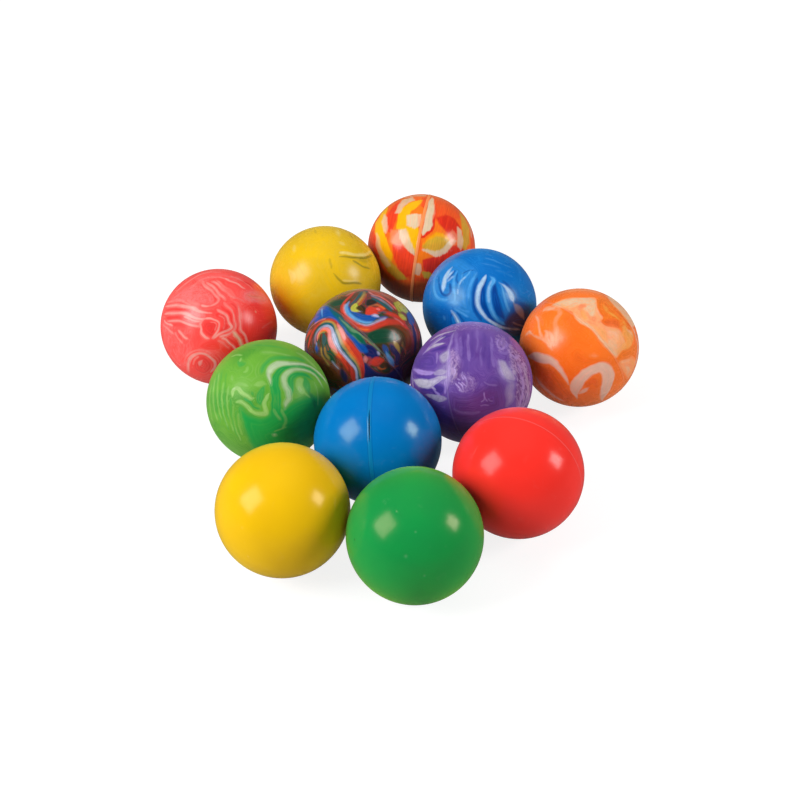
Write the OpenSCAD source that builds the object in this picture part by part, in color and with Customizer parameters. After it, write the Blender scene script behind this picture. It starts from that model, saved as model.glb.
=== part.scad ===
/* [Ball] */
// Diameter of every ball
ball_d = 45; // [27:1:60]

/* [Parting line] */
// Height of an untrimmed bead, where the two halves of the mould met, above the ball
bead_h = 0.12; // [0.05:0.01:0.3]
// Width of an untrimmed bead
bead_w = 1.4; // [0.8:0.1:3]
// Height of a bead that tumbling has worn down
worn_h = 0.05; // [0.02:0.01:0.2]
// Width of a worn bead
worn_w = 0.8; // [0.4:0.1:2]
// Length of the slit that opened along the blue ball's bead
slit_l = 13; // [4:0.5:18]
// Width of the slit at its middle
slit_w = 0.5; // [0.2:0.05:0.8]
// Depth of the slit below the ball's surface
slit_depth = 0.4; // [0.1:0.05:1.5]

/* [Layout] */
// Clearance between the beads of two balls that lie against each other
play = 0.1; // [0.05:0.05:1]
// Bearing of the purple marbled ball, seen from the rainbow ball
purple_bearing = -28; // [-180:0.5:180]
// Angle at the rainbow ball from the purple to the yellow marbled ball
spread = 138.5; // [125:0.5:150]
// Extra room between the rainbow and the blue marbled ball
rainbow_blue_marble_gap = 6.7; // [1:0.1:12]
// Extra room between the purple and the blue marbled ball
purple_blue_marble_gap = 1.3; // [0:0.1:6]
// Extra room between the purple and the orange marbled ball
purple_orange_gap = 0.7; // [0:0.1:6]
// Extra room between the rainbow and the blue ball
rainbow_blue_gap = 6.4; // [1:0.1:12]
// Extra room between the purple marbled and the blue ball
purple_blue_gap = 0.5; // [0:0.1:6]
// Extra room between the purple marbled and the red ball
purple_red_gap = 3.8; // [0:0.1:10]
// Extra room between the blue and the red ball
blue_red_gap = 5.6; // [0:0.1:10]
// Extra room between the blue and the green ball
blue_green_gap = 1.1; // [0:0.1:6]
// Extra room between the pink and the green marbled ball, which don't touch
green_marble_pink_gap = 4; // [0:0.5:15]
// Extra room between the pink and the yellow marbled ball, which don't touch
yellow_marble_pink_gap = 4; // [0:0.5:15]

/* [Hidden] */
$fn = 128;

ball_r = ball_d / 2;
// Centre to centre, for two balls that lie against each other
reach = ball_d + 2 * bead_h + play;
// The slit's cutter runs past the bead by this much
overrun = 1;

// A seam is a ring about its own axis: tilt leans that axis over from straight up,
// and turn swings it round from +X
patchwork_seam = [84.5, 169.5];
yellow_marble_seam = [57, -84];
blue_marble_seam = [52, -96];
pink_marble_seam = [50, -80];
rainbow_seam = [66, 39];
orange_marble_seam = [70.5, 40];
purple_marble_seam = [71.5, -18.5];
green_marble_seam = [46, -83];
blue_seam = [85, -3.5];
red_seam = [83, -114.5];
yellow_seam = [43, -80];
green_seam = [41, -92];
// Where the middle of the slit lies, round the blue ball's seam
slit_angle = -147;

// Crown of a bead above the edges where it meets the ball
function bead_rise(h, w) = ball_r + h - sqrt(ball_r * ball_r - w * w / 4);
// Radius of a bead's rounded section, and of the circle that its centre runs on
function bead_r(h, w) = (pow(bead_rise(h, w), 2) + w * w / 4) / (2 * bead_rise(h, w));
function bead_ring_r(h, w) = ball_r + h - bead_r(h, w);
// Height of a ball's centre: it rests on its skin, or on its bead where the seam passes underneath
function rest_z(seam, h, w) = max(ball_r, bead_ring_r(h, w) * sin(seam[0]) + bead_r(h, w));

// Centre of a ball that lies against the one at a, on a bearing from it
function beside(a, bearing) = a + reach * [cos(bearing), sin(bearing)];
// Centre of a ball that nests to the left of the line from a to b, with room gap_a to the ball
// at a and gap_b to the one at b
function nested(a, b, gap_a, gap_b) =
    let (
        line = b - a,
        along = line / norm(line),
        far_a = reach + gap_a,
        far_b = reach + gap_b,
        step = (norm(line) * norm(line) + far_a * far_a - far_b * far_b) / (2 * norm(line))
    )
    a + step * along + sqrt(far_a * far_a - step * step) * [-along[1], along[0]];

// Each ball is placed against those before it, starting at the rainbow ball
rainbow_at = [0, 0];
purple_marble_at = beside(rainbow_at, purple_bearing);
yellow_marble_at = beside(rainbow_at, purple_bearing + spread);
blue_marble_at = nested(rainbow_at, purple_marble_at, rainbow_blue_marble_gap, purple_blue_marble_gap);
orange_marble_at = nested(blue_marble_at, purple_marble_at, 0, purple_orange_gap);
patchwork_at = nested(yellow_marble_at, blue_marble_at, 0, 0);
blue_at = nested(purple_marble_at, rainbow_at, purple_blue_gap, rainbow_blue_gap);
green_marble_at = nested(blue_at, rainbow_at, 0, 0);
red_at = nested(purple_marble_at, blue_at, purple_red_gap, blue_red_gap);
green_at = nested(red_at, blue_at, 0, blue_green_gap);
yellow_at = nested(green_at, blue_at, 0, 0);
pink_marble_at = nested(green_marble_at, yellow_marble_at, green_marble_pink_gap, yellow_marble_pink_gap);

// Middle of the box round all the balls, which goes to the origin
all_at = [patchwork_at, yellow_marble_at, blue_marble_at, pink_marble_at, rainbow_at, orange_marble_at,
    purple_marble_at, green_marble_at, blue_at, red_at, yellow_at, green_at];
all_x = [for (at = all_at) at[0]];
all_y = [for (at = all_at) at[1]];
middle = [min(all_x) + max(all_x), min(all_y) + max(all_y)] / 2;

// Stands a ball at its place, with its seam's axis leaned and turned
module place(at, seam, h, w) {
    translate([at[0] - middle[0], at[1] - middle[1], rest_z(seam, h, w)])
        rotate([0, seam[0], seam[1]])
            children();
}

// One ball as it leaves the mould: a solid sphere with the rounded bead of the parting line,
// which runs round its XY plane
module moulded_ball(h, w) {
    union() {
        sphere(r = ball_r);
        rotate_extrude()
            translate([bead_ring_r(h, w), 0])
                circle(r = bead_r(h, w));
    }
}

// Outline of the slit: two arcs that meet in a point at each end
module slit_outline() {
    arc_r = (slit_l * slit_l + slit_w * slit_w) / (4 * slit_w);
    intersection() {
        translate([0, arc_r - slit_w / 2])
            circle(r = arc_r);
        translate([0, slit_w / 2 - arc_r])
            circle(r = arc_r);
    }
}

// What the slit takes away: its outline, cut in from outside down to an even depth
module slit() {
    difference() {
        rotate([90, 0, 90])
            linear_extrude(height = ball_r + bead_h + overrun)
                slit_outline();
        sphere(r = ball_r - slit_depth);
    }
}

// A ball whose bead was left untrimmed
module beaded_ball(at, seam) {
    place(at, seam, bead_h, bead_w)
        moulded_ball(bead_h, bead_w);
}

// A ball whose bead is worn down until it hardly shows
module worn_ball(at, seam) {
    place(at, seam, worn_h, worn_w)
        moulded_ball(worn_h, worn_w);
}

module patchwork_ball() {
    color("orangered")
        beaded_ball(patchwork_at, patchwork_seam);
}

module yellow_marble_ball() {
    color("gold")
        worn_ball(yellow_marble_at, yellow_marble_seam);
}

module blue_marble_ball() {
    color("dodgerblue")
        worn_ball(blue_marble_at, blue_marble_seam);
}

module pink_marble_ball() {
    color("salmon")
        worn_ball(pink_marble_at, pink_marble_seam);
}

module rainbow_ball() {
    color("crimson")
        worn_ball(rainbow_at, rainbow_seam);
}

module orange_marble_ball() {
    color("darkorange")
        worn_ball(orange_marble_at, orange_marble_seam);
}

module purple_marble_ball() {
    color("mediumpurple")
        worn_ball(purple_marble_at, purple_marble_seam);
}

module green_marble_ball() {
    color("limegreen")
        worn_ball(green_marble_at, green_marble_seam);
}

module blue_ball() {
    color("steelblue")
        place(blue_at, blue_seam, bead_h, bead_w)
            difference() {
                moulded_ball(bead_h, bead_w);
                rotate([0, 0, slit_angle])
                    slit();
            }
}

module red_ball() {
    color("tomato")
        worn_ball(red_at, red_seam);
}

module yellow_ball() {
    color("yellow")
        worn_ball(yellow_at, yellow_seam);
}

module green_ball() {
    color("seagreen")
        worn_ball(green_at, green_seam);
}

patchwork_ball();
yellow_marble_ball();
blue_marble_ball();
pink_marble_ball();
rainbow_ball();
orange_marble_ball();
purple_marble_ball();
green_marble_ball();
blue_ball();
red_ball();
yellow_ball();
green_ball();
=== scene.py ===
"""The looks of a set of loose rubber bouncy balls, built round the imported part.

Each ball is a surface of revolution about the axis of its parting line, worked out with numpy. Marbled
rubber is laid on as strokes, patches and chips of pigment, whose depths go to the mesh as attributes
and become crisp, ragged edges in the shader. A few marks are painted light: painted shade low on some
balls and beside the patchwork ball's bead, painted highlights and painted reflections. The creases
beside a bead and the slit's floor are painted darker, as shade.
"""

import logging
import math
from dataclasses import dataclass, field
from enum import Enum
from typing import ClassVar

import bpy
import numpy as np
from mathutils import Matrix, Vector


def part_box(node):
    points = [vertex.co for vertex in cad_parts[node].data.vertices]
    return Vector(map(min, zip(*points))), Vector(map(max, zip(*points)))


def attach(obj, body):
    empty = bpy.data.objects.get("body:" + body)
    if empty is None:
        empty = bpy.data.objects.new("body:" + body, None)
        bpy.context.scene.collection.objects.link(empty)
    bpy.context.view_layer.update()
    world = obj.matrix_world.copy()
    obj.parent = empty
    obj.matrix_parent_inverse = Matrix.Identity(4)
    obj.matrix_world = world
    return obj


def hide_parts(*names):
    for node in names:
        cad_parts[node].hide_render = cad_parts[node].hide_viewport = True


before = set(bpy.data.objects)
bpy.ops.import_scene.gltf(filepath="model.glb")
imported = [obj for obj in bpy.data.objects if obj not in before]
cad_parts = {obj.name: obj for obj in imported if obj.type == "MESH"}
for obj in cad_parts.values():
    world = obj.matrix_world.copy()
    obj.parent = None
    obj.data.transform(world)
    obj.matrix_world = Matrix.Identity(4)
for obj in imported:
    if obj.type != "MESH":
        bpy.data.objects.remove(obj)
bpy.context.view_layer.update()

LOG = logging.getLogger("bouncy_balls")

Colour = tuple[float, float, float]

# Lengths are in metres, places on a ball in percent of its radius, to the right and up as it is seen
MM = 0.001
PERCENT = 0.01
BALL_RADIUS = 22.5 * MM
# How far round a mark its depth is worked out, as a share of the radius
REACH = 0.3
# Depth, strength and softness where no mark is near
UNTOUCHED = (-REACH, 1.0, 2.0 * PERCENT)
# The waves that shift marks about: how fine each kind is, and its share of the shift
WAVES = ((8.0, 1.0), (16.0, 0.6), (30.0, 0.25))
WAVE_SEEDS = 100


def smooth_step(value: np.ndarray) -> np.ndarray:
    """Eases a value from 0 to 1, with level ends: three squares less two cubes."""
    eased = np.clip(value, 0.0, 1.0)
    return eased * eased * (3.0 - 2.0 * eased)


def seen(red: float, green: float, blue: float) -> Colour:
    """The linear colour of one that is given as it looks on a screen, each part from 0 to 1."""
    parts = (red, green, blue)
    return tuple(((part + 0.055) / 1.055) ** 2.4 if part > 0.04 else part / 12.92 for part in parts)


def unit(vector: np.ndarray) -> np.ndarray:
    """The vector divided by its length."""
    return vector / np.linalg.norm(vector)


class Place(Enum):
    """Which way a pattern is laid on a ball."""

    SEEN = "towards the camera"
    BACK = "away from the camera"


@dataclass(frozen=True)
class View:
    """The camera, as the outlines of the balls fix it.

    Attributes:
        place: where it stands.
        down: how far it looks down, in degrees.
        roll: how far it is rolled to the left, in degrees.
        focal_pixels: its focal length, in pixels of the picture.
        picture_pixels: the picture's width.
        sensor: the sensor's width, in millimetres.
    """

    place: tuple[float, float, float] = (0.84 * MM, -361.1 * MM, 333.7 * MM)
    down: float = 41.91
    roll: float = -0.98
    focal_pixels: float = 1279.6
    picture_pixels: float = 800.0
    sensor: float = 36.0

    def axes(self) -> np.ndarray:
        """The camera's right, up and backward directions, as the rows of a matrix."""
        down, roll = math.radians(self.down), math.radians(self.roll)
        level_right = np.array([1.0, 0.0, 0.0])
        level_up = np.array([0.0, math.sin(down), math.cos(down)])
        right = math.cos(roll) * level_right + math.sin(roll) * level_up
        up = math.cos(roll) * level_up - math.sin(roll) * level_right
        return np.array([right, up, np.cross(right, up)])

    def add(self) -> bpy.types.Object:
        """Makes the camera and makes it the scene's own."""
        data = bpy.data.cameras.new("view")
        data.sensor_width = self.sensor
        data.lens = self.sensor * self.focal_pixels / self.picture_pixels
        camera = bpy.data.objects.new("view", data)
        matrix = Matrix(self.axes().T.tolist()).to_4x4()
        matrix.translation = Vector(self.place)
        camera.matrix_world = matrix
        bpy.context.scene.collection.objects.link(camera)
        bpy.context.scene.camera = camera
        return camera


VIEW = View()


@dataclass(frozen=True)
class Facing:
    """A flat map of a ball's surface, centred on one direction.

    A point's distance from the map's middle is its share of the outline's radius as the camera sees
    the ball, and past the outline it goes on round the back by angle.

    Attributes:
        right: the map's way right, from the ball's centre.
        up: its way up.
        out: the direction of its middle.
        distance: from the ball's centre to the camera, in radii.
    """

    right: np.ndarray
    up: np.ndarray
    out: np.ndarray
    distance: float

    @staticmethod
    def of(centre: np.ndarray, place: Place) -> "Facing":
        """The map of one ball.

        Args:
            centre: the ball's centre.
            place: which way the map faces.

        Returns:
            The map. The one of the back has the same pattern turned round.
        """
        to_camera = np.array(VIEW.place) - centre
        out = unit(to_camera)
        right = VIEW.axes()[0]
        right = unit(right - out * (right @ out))
        up = np.cross(out, right)
        if place is Place.BACK:
            out = -out
            right, up = up, right
        return Facing(right, up, out, float(np.linalg.norm(to_camera)) / BALL_RADIUS)

    def directions(self, points: np.ndarray) -> np.ndarray:
        """Unit directions from the ball's centre of points on the map.

        Args:
            points: one row per point, right and up as shares of the outline's radius.

        Returns:
            One unit row per point. The sight line through a share s meets the sphere at the angle
            asin(k d / sqrt(1 + k k)) - atan(k), with k = s / sqrt(d d - 1) and d the distance.
        """
        share = np.linalg.norm(points, axis=1)
        inside = np.minimum(share, 1.0)
        k = inside / math.sqrt(self.distance**2 - 1.0)
        polar = np.arcsin(np.clip(k * self.distance / np.sqrt(1.0 + k * k), -1.0, 1.0)) - np.arctan(k)
        polar = polar + (share - inside) * math.pi / 2.0
        turn = points / np.maximum(share, 1e-9)[:, None]
        across = turn[:, :1] * self.right + turn[:, 1:] * self.up
        return np.sin(polar)[:, None] * across + np.cos(polar)[:, None] * self.out

    def flat(self, directions: np.ndarray) -> np.ndarray:
        """Even-angle map places, for telling the inside of an outline.

        Args:
            directions: unit directions from the ball's centre, one row each.

        Returns:
            One row per direction, right and up, as long as its angle from the map's middle.
        """
        polar = np.arccos(np.clip(directions @ self.out, -1.0, 1.0))
        across = np.stack([directions @ self.right, directions @ self.up], axis=1)
        return across / np.maximum(np.linalg.norm(across, axis=1), 1e-9)[:, None] * polar[:, None]


def spline(points: np.ndarray, closed: bool = False, steps: int = 6) -> np.ndarray:
    """A Catmull-Rom curve: each stretch is the cubic whose slopes follow the points beside it.

    Args:
        points: one row per point, any number of columns.
        closed: whether the last point leads back to the first.
        steps: how many points each stretch is cut into.

    Returns:
        The curve's points, one row each.
    """
    if closed:
        padded = np.vstack([points[-1:], points, points[:2]])
    else:
        padded = np.vstack([2 * points[0] - points[1], points, 2 * points[-1] - points[-2]])
    before, start, end, after = padded[:-3], padded[1:-2], padded[2:-1], padded[3:]
    t = (np.arange(steps) / steps)[None, :, None]
    before, start, end, after = (part[:, None, :] for part in (before, start, end, after))
    slope_in, slope_out = (end - before) / 2.0, (after - start) / 2.0
    curve = (
        start
        + slope_in * t
        + (3.0 * (end - start) - 2.0 * slope_in - slope_out) * t**2
        + (2.0 * (start - end) + slope_in + slope_out) * t**3
    )
    curve = curve.reshape(-1, points.shape[1])
    return curve if closed else np.vstack([curve, points[-1:]])


def polygon(points: np.ndarray, steps: int = 4) -> np.ndarray:
    """A closed outline with straight sides.

    Args:
        points: its corners, one row each.
        steps: how many equal stretches each side is cut into.

    Returns:
        The outline's points, one row each.
    """
    t = (np.arange(steps) / steps)[None, :, None]
    sides = points[:, None, :] * (1.0 - t) + np.roll(points, -1, axis=0)[:, None, :] * t
    return sides.reshape(-1, points.shape[1])


def nearest(surface: np.ndarray, line: np.ndarray) -> tuple[np.ndarray, np.ndarray]:
    """How far each surface point lies from each straight stretch of a line on the unit sphere.

    Args:
        surface: unit rows of the surface's points.
        line: unit rows of the line's points.

    Returns:
        The distances, and the place along each stretch from 0 to 1, both with a row per surface point
        and a column per stretch.
    """
    start, along = line[:-1], line[1:] - line[:-1]
    length2 = np.maximum((along * along).sum(1), 1e-12)
    reach = surface @ along.T - (start * along).sum(1)
    t = np.clip(reach / length2, 0.0, 1.0)
    gap2 = 2.0 - 2.0 * (surface @ start.T) - 2.0 * t * reach + t * t * length2
    return np.sqrt(np.maximum(gap2, 0.0)), t


def wobbled(surface: np.ndarray, seed: float, amount: float) -> np.ndarray:
    """Shifts unit directions about a little, so that marks run as unevenly as pressed rubber does.

    Each of nine waves adds its own small sideways shift, times the sine of the place's share along its
    wave vector. Vectors, shifts and phases come from a seeded generator.

    Args:
        surface: unit rows of the surface's points.
        seed: which waves they are.
        amount: how large the shifts are, as a share of the radius.

    Returns:
        The shifted unit rows.
    """
    draw = np.random.default_rng(int(seed) + WAVE_SEEDS)
    for size, share in WAVES:
        waves = draw.normal(size=(3, 3)) * size
        phases = draw.uniform(0.0, math.tau, 3)
        shifts = draw.normal(size=(3, 3)) * share * amount
        surface = surface + np.sin(surface @ waves.T + phases) @ shifts
    return surface / np.linalg.norm(surface, axis=1)[:, None]


@dataclass(frozen=True)
class Mark:
    """One touch of pigment. Places and widths are in percent of the ball's radius.

    Attributes:
        points: its centre line or outline, as right,up pairs with a space between them.
        strength: how far its colour covers, from 0 to 1.
        soft: the width over which its edge fades.
    """

    points: str
    strength: float = 1.0
    soft: float = 4.0

    def corners(self) -> np.ndarray:
        """Its points as shares of the radius, one row each."""
        return np.array([point.split(",") for point in self.points.split()], float) * PERCENT

    def near(self, surface: np.ndarray, facing: Facing) -> np.ndarray:
        """Which surface points lie on the mark or close to it.

        Args:
            surface: unit rows of the surface's points.
            facing: the map that the mark is laid on.

        Returns:
            The numbers of their rows.
        """
        places = facing.directions(self.corners())
        middle = unit(places.mean(0))
        reach = np.arccos(np.clip((places @ middle).min(), -1.0, 1.0)) + REACH
        return np.flatnonzero(surface @ middle > math.cos(min(reach, math.pi)))

    def depth(self, surface: np.ndarray, facing: Facing) -> np.ndarray:
        """How deep each surface point lies inside the mark, as a share of the radius.

        Args:
            surface: unit rows of the surface's points.
            facing: the map that the mark is laid on.

        Returns:
            One number per point, below zero outside the mark.
        """
        raise NotImplementedError


@dataclass(frozen=True)
class Stroke(Mark):
    """A line of pigment: half its width less the distance from its centre line.

    Attributes:
        width: its width, all along or at each point.
        taper: over how many widths it narrows to each end.
        blunt: how far along that taper it begins.
    """

    width: float | list[float] = 5.0
    taper: ClassVar[float] = 1.2
    blunt: ClassVar[float] = 0.1

    def depth(self, surface: np.ndarray, facing: Facing) -> np.ndarray:
        """How deep each surface point lies inside the stroke, as Mark.depth says."""
        corners = self.corners()
        widths = np.broadcast_to(np.asarray(self.width, float) * PERCENT, len(corners))
        table = spline(np.column_stack([corners, widths]))
        width = table[:, 2]
        steps = np.linalg.norm(np.diff(table[:, :2], axis=0), axis=1)
        way = np.concatenate([[0.0], np.cumsum(steps)])
        end = np.minimum(way, way[-1] - way) / (width.max() * self.taper)
        width = width * np.sqrt(smooth_step(end + self.blunt))
        gap, t = nearest(surface, facing.directions(table[:, :2]))
        half = (width[:-1] + t * (width[1:] - width[:-1])) / 2.0
        return (half - gap).max(1)


@dataclass(frozen=True)
class Patch(Mark):
    """A filled outline with a rounded edge: the distance from its edge, taken as positive inside."""

    def outline(self) -> np.ndarray:
        """The points of its edge on the map, one row each."""
        return spline(self.corners(), closed=True)

    def depth(self, surface: np.ndarray, facing: Facing) -> np.ndarray:
        """How deep each surface point lies inside the outline, as Mark.depth says.

        A point is inside when a level line to its right crosses the edge an odd number of times.
        """
        edge = facing.directions(self.outline())
        edge = np.vstack([edge, edge[:1]])
        gap = nearest(surface, edge)[0].min(1)
        outline, places = facing.flat(edge), facing.flat(surface)
        low, high = outline[:-1], outline[1:]
        above = (low[:, 1] > places[:, 1:]) != (high[:, 1] > places[:, 1:])
        rise = high[:, 1] - low[:, 1]
        rise = np.where(np.abs(rise) < 1e-12, 1e-12, rise)
        crossing = low[:, 0] + (places[:, 1:] - low[:, 1]) * (high[:, 0] - low[:, 0]) / rise
        inside = (above & (places[:, :1] < crossing)).sum(1) % 2 == 1
        return np.where(inside, gap, -gap)


@dataclass(frozen=True)
class Chip(Patch):
    """A patch with straight sides and sharp corners."""

    def outline(self) -> np.ndarray:
        """The points of its edge on the map, one row each."""
        return polygon(self.corners())


@dataclass(frozen=True)
class Pigment:
    """One colour of a marbled ball, with the marks that it is laid on in.

    Attributes:
        name: a plain word, which its attribute on the mesh is called as well.
        colour: as it is seen in even light, linear.
        marks: where it lies.
        ragged: how far the noise moves its edges, in percent of the radius.
        mottle: how much its tone wanders.
        streaky: how far what lies below shows through in streaks.
        crackled: how far it breaks up into fine specks.
        dull: how much rougher the skin is where it lies.
        spread: how far it runs out past its marks, in percent of the radius.
    """

    name: str
    colour: Colour
    marks: list[Mark]
    ragged: float = 2.5
    mottle: float = 0.2
    streaky: float = 0.5
    crackled: float = 0.0
    dull: float = 0.0
    spread: float = 0.0

    def field(self, surface: np.ndarray, facings: list[Facing]) -> np.ndarray:
        """What the shader needs to know of the pigment at each surface point.

        Args:
            surface: unit rows of the surface's points.
            facings: the maps that its marks are laid on.

        Returns:
            The depth in the deepest mark, with the spread added, and that mark's strength and softness,
            one row per point.
        """
        best = np.full((len(surface), 3), UNTOUCHED)
        for facing in facings:
            for mark in self.marks:
                near = mark.near(surface, facing)
                depth = mark.depth(surface[near], facing)
                deeper = depth > best[near, 0]
                best[near[deeper], 0] = depth[deeper]
                best[near[deeper], 1] = mark.strength
                best[near[deeper], 2] = mark.soft * PERCENT
        best[:, 0] += self.spread * PERCENT
        return best


@dataclass(frozen=True)
class Seam:
    """The parting line round a ball, and the rounded bead that the mould leaves on it.

    Attributes:
        tilt: how far the seam's axis leans from straight up, in degrees.
        turn: which way it leans, in degrees round from +X.
        height: how far the bead stands above the ball.
        width: how wide it is where it meets the ball.
        near: the latitude past which there is no bead, in radians.
        worn: the part of the bead's crown that is worn, as a share of half its width.
        crease: where its creases, painted darker as shade, lie, as a share of half its width.
        crease_width: how wide they are to each side, as a share of half its width.
    """

    tilt: float
    turn: float
    height: float = 0.05 * MM
    width: float = 0.8 * MM
    near: ClassVar[float] = 0.2
    worn: ClassVar[float] = 0.3
    crease: ClassVar[float] = 1.1
    crease_width: ClassVar[float] = 0.25

    def axes(self) -> np.ndarray:
        """The seam's own X, Y and Z directions, as the rows of a matrix."""
        tilt, turn = math.radians(self.tilt), math.radians(self.turn)
        lean = np.array(
            [[math.cos(tilt), 0, -math.sin(tilt)], [0, 1, 0], [math.sin(tilt), 0, math.cos(tilt)]]
        )
        swing = np.array(
            [[math.cos(turn), math.sin(turn), 0], [-math.sin(turn), math.cos(turn), 0], [0, 0, 1]]
        )
        return lean @ swing

    def radius(self, latitude: np.ndarray) -> np.ndarray:
        """The surface's distance from the centre at each latitude from the seam, in radians.

        Off the bead it is the ball's radius. On it, the ray meets the bead's round section, a circle of
        radius b on a ring of radius c, at c cos(latitude) + sqrt(b b - c c sin(latitude) ** 2).
        """
        rise = BALL_RADIUS + self.height - math.sqrt(BALL_RADIUS**2 - self.width**2 / 4.0)
        bead = (rise**2 + self.width**2 / 4.0) / (2.0 * rise)
        ring = BALL_RADIUS + self.height - bead
        inner = np.maximum(bead**2 - (ring * np.sin(latitude)) ** 2, 0.0)
        on_bead = ring * np.cos(latitude) + np.sqrt(inner)
        return np.maximum(BALL_RADIUS, np.where(np.abs(latitude) < self.near, on_bead, 0.0))

    def tint(self, latitude: np.ndarray) -> np.ndarray:
        """Above zero on the bead's worn crown, and below it in the creases along its edges, which are painted
        darker as shade.
        """
        across = np.abs(latitude) * BALL_RADIUS / (self.width / 2.0)
        crown = smooth_step((1.0 - across) / self.worn)
        return crown - smooth_step(1.0 - np.abs(across - self.crease) / self.crease_width)


@dataclass(frozen=True)
class Slit:
    """A lens-shaped opening along a seam: as wide as one less the square of the way to its ends.

    Attributes:
        middle: where its middle lies round the seam, in degrees.
        length: from end to end.
        width: across its middle.
        depth: of its floor below the bead's crown.
        wall: over what width it sinks to its floor.
        darkening: how fast the shade painted on its walls darkens, where 1 is fully dark at the floor alone.
    """

    middle: float = -147.0
    length: float = 13.0 * MM
    width: float = 0.5 * MM
    depth: float = 0.38 * MM
    wall: float = 0.1 * MM
    darkening: ClassVar[float] = 1.5

    def sink(self, latitude: np.ndarray, longitude: np.ndarray) -> np.ndarray:
        """How deep the slit cuts at each place, given in radians from the seam and round it."""
        round_way = (longitude - math.radians(self.middle) + math.pi) % (2.0 * math.pi) - math.pi
        along = round_way * BALL_RADIUS / (self.length / 2.0)
        half = self.width / 2.0 * np.maximum(1.0 - along**2, 0.0)
        inside = half - np.abs(latitude) * BALL_RADIUS
        return self.depth * smooth_step(inside / self.wall)


@dataclass(frozen=True)
class Nick:
    """A small round dent or speck in the surface, which fades out as a bell curve.

    Attributes:
        point: where it lies, in percent of the ball's radius.
        radius: how large it is, in percent of the ball's radius.
        depth: how deep its middle is, in metres.
        shade: how much darker it is, or paler where it is below zero.
    """

    point: tuple[float, float]
    radius: float = 2.0
    depth: float = 0.12 * MM
    shade: float = -0.3


class Value:
    """A shader socket that holds a number, with the operators that the finishes use."""

    def __init__(self, graph: "Graph", socket: bpy.types.NodeSocket) -> None:
        """Wraps a socket of a graph."""
        self.graph = graph
        self.socket = socket

    def math(self, operation: str, other: "Value | float | None" = None) -> "Value":
        """The result of a Math node on this value and another."""
        inputs = {0: self} if other is None else {0: self, 1: other}
        return self.graph.value("ShaderNodeMath", {"operation": operation}, inputs)

    def __add__(self, other: "Value | float") -> "Value":
        """This value plus another."""
        return self.math("ADD", other)

    __radd__ = __add__

    def __mul__(self, other: "Value | float") -> "Value":
        """This value times another."""
        return self.math("MULTIPLY", other)

    __rmul__ = __mul__

    def __sub__(self, other: "Value | float") -> "Value":
        """This value less another."""
        return self.math("SUBTRACT", other)

    def __rsub__(self, other: float) -> "Value":
        """A number less this value."""
        return (self * -1.0).math("ADD", other)

    def __truediv__(self, other: "Value | float") -> "Value":
        """This value divided by another."""
        return self.math("DIVIDE", other)

    def eased(self, low: float, high: float) -> "Value":
        """Eases from 0 at low to 1 at high."""
        inputs = {"Value": self, "From Min": low, "From Max": high}
        return self.graph.value("ShaderNodeMapRange", {"interpolation_type": "SMOOTHSTEP"}, inputs)


@dataclass(frozen=True)
class Noise:
    """One kind of noise in the rubber.

    Attributes:
        scale: how many features a metre holds.
        detail: how many finer layers it has.
        warp: how far it is distorted.
        offset: what its seed differs by from the ball's own.
        squash: how far features are drawn out upwards, as their width's share of their height.
    """

    scale: float
    detail: float
    warp: float = 0.0
    offset: float = 0.0
    squash: float = 1.0


GRAIN = Noise(1400.0, 2.0)
EDGE = Noise(420.0, 4.0, 0.6, 3.0)
CLOUD = Noise(60.0, 3.0, 0.8, 7.0)
CRACKLE = Noise(1000.0, 3.0, 1.0, 9.0, 0.33)
SCUFF = Noise(160.0, 5.0, 1.5, 11.0)
VEINED = Noise(50.0, 2.0, 0.0, 29.0)
STREAK = Noise(90.0, 3.0, 0.3)
# How fast the streaks change with the depth in a mark, and the offsets of their seeds
STREAK_DRIFT = 0.5
BASE_STREAKS = 13.0
PIGMENT_STREAKS = 31.0
NEXT_PIGMENT = 2.7
# How far the streaks move a mark's edge, in its raggedness, and the fine noise, in percent of the radius
STREAK_SHIFT = 2.5
EDGE_SHIFT = 1.2
# From where to where in its noise each thing goes from nothing to all
SECOND_TONE = (0.55, 0.95)
VEIN_LINES = (0.2, 0.95)
VEIN_PLACES = (0.35, 0.6)
GAPS = (0.5, 0.72)
SPECKS = (0.38, 0.6)
SCUFFS = (0.6, 0.8)
FINE_TONE = (0.25, 0.75)
STREAK_TONE = (0.35, 0.65)
# Shares of one noise where two are added: the fine one in a pigment's tone, the grain in the relief,
# the crackle in the specks, and the lesser one in the base colour
FINE_SHARE = 0.4
GRAIN_SHARE = 0.35
CRACKLE_SHARE = 0.75
LESSER_SHARE = 0.5
# How much fewer the specks are where a mark fades out
THINNER_EDGE = 0.25
# Where several base tones begin in the streaks and how fast they follow, and how often veins come
RAMP_START = 0.3
RAMP_GAIN = 2.5
VEIN_TURNS = 4.0
# The skin: its shine, the bloom that shows edge on, how uneven its roughness is, and its relief
SHINE = 0.22
BLOOM = 0.32
BLOOM_ROUGHNESS = 0.5
ROUGHNESS_DRIFT = 0.08
SCUFF_ROUGHNESS = 1.5
RELIEF = 0.07
RELIEF_DEPTH = 0.1 * MM
# Painted shade: how dark the creases beside a bead and the slit's floor are painted, against the base colour
CREASE_GAIN = 0.3
CREASE_SHARE = 0.4
SLIT_GAIN = 0.2
# How far worn rubber goes from its base colour to a pale grey, and how bright that grey is
WORN_SHARE = 0.35
WORN_GREY = 0.75


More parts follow.
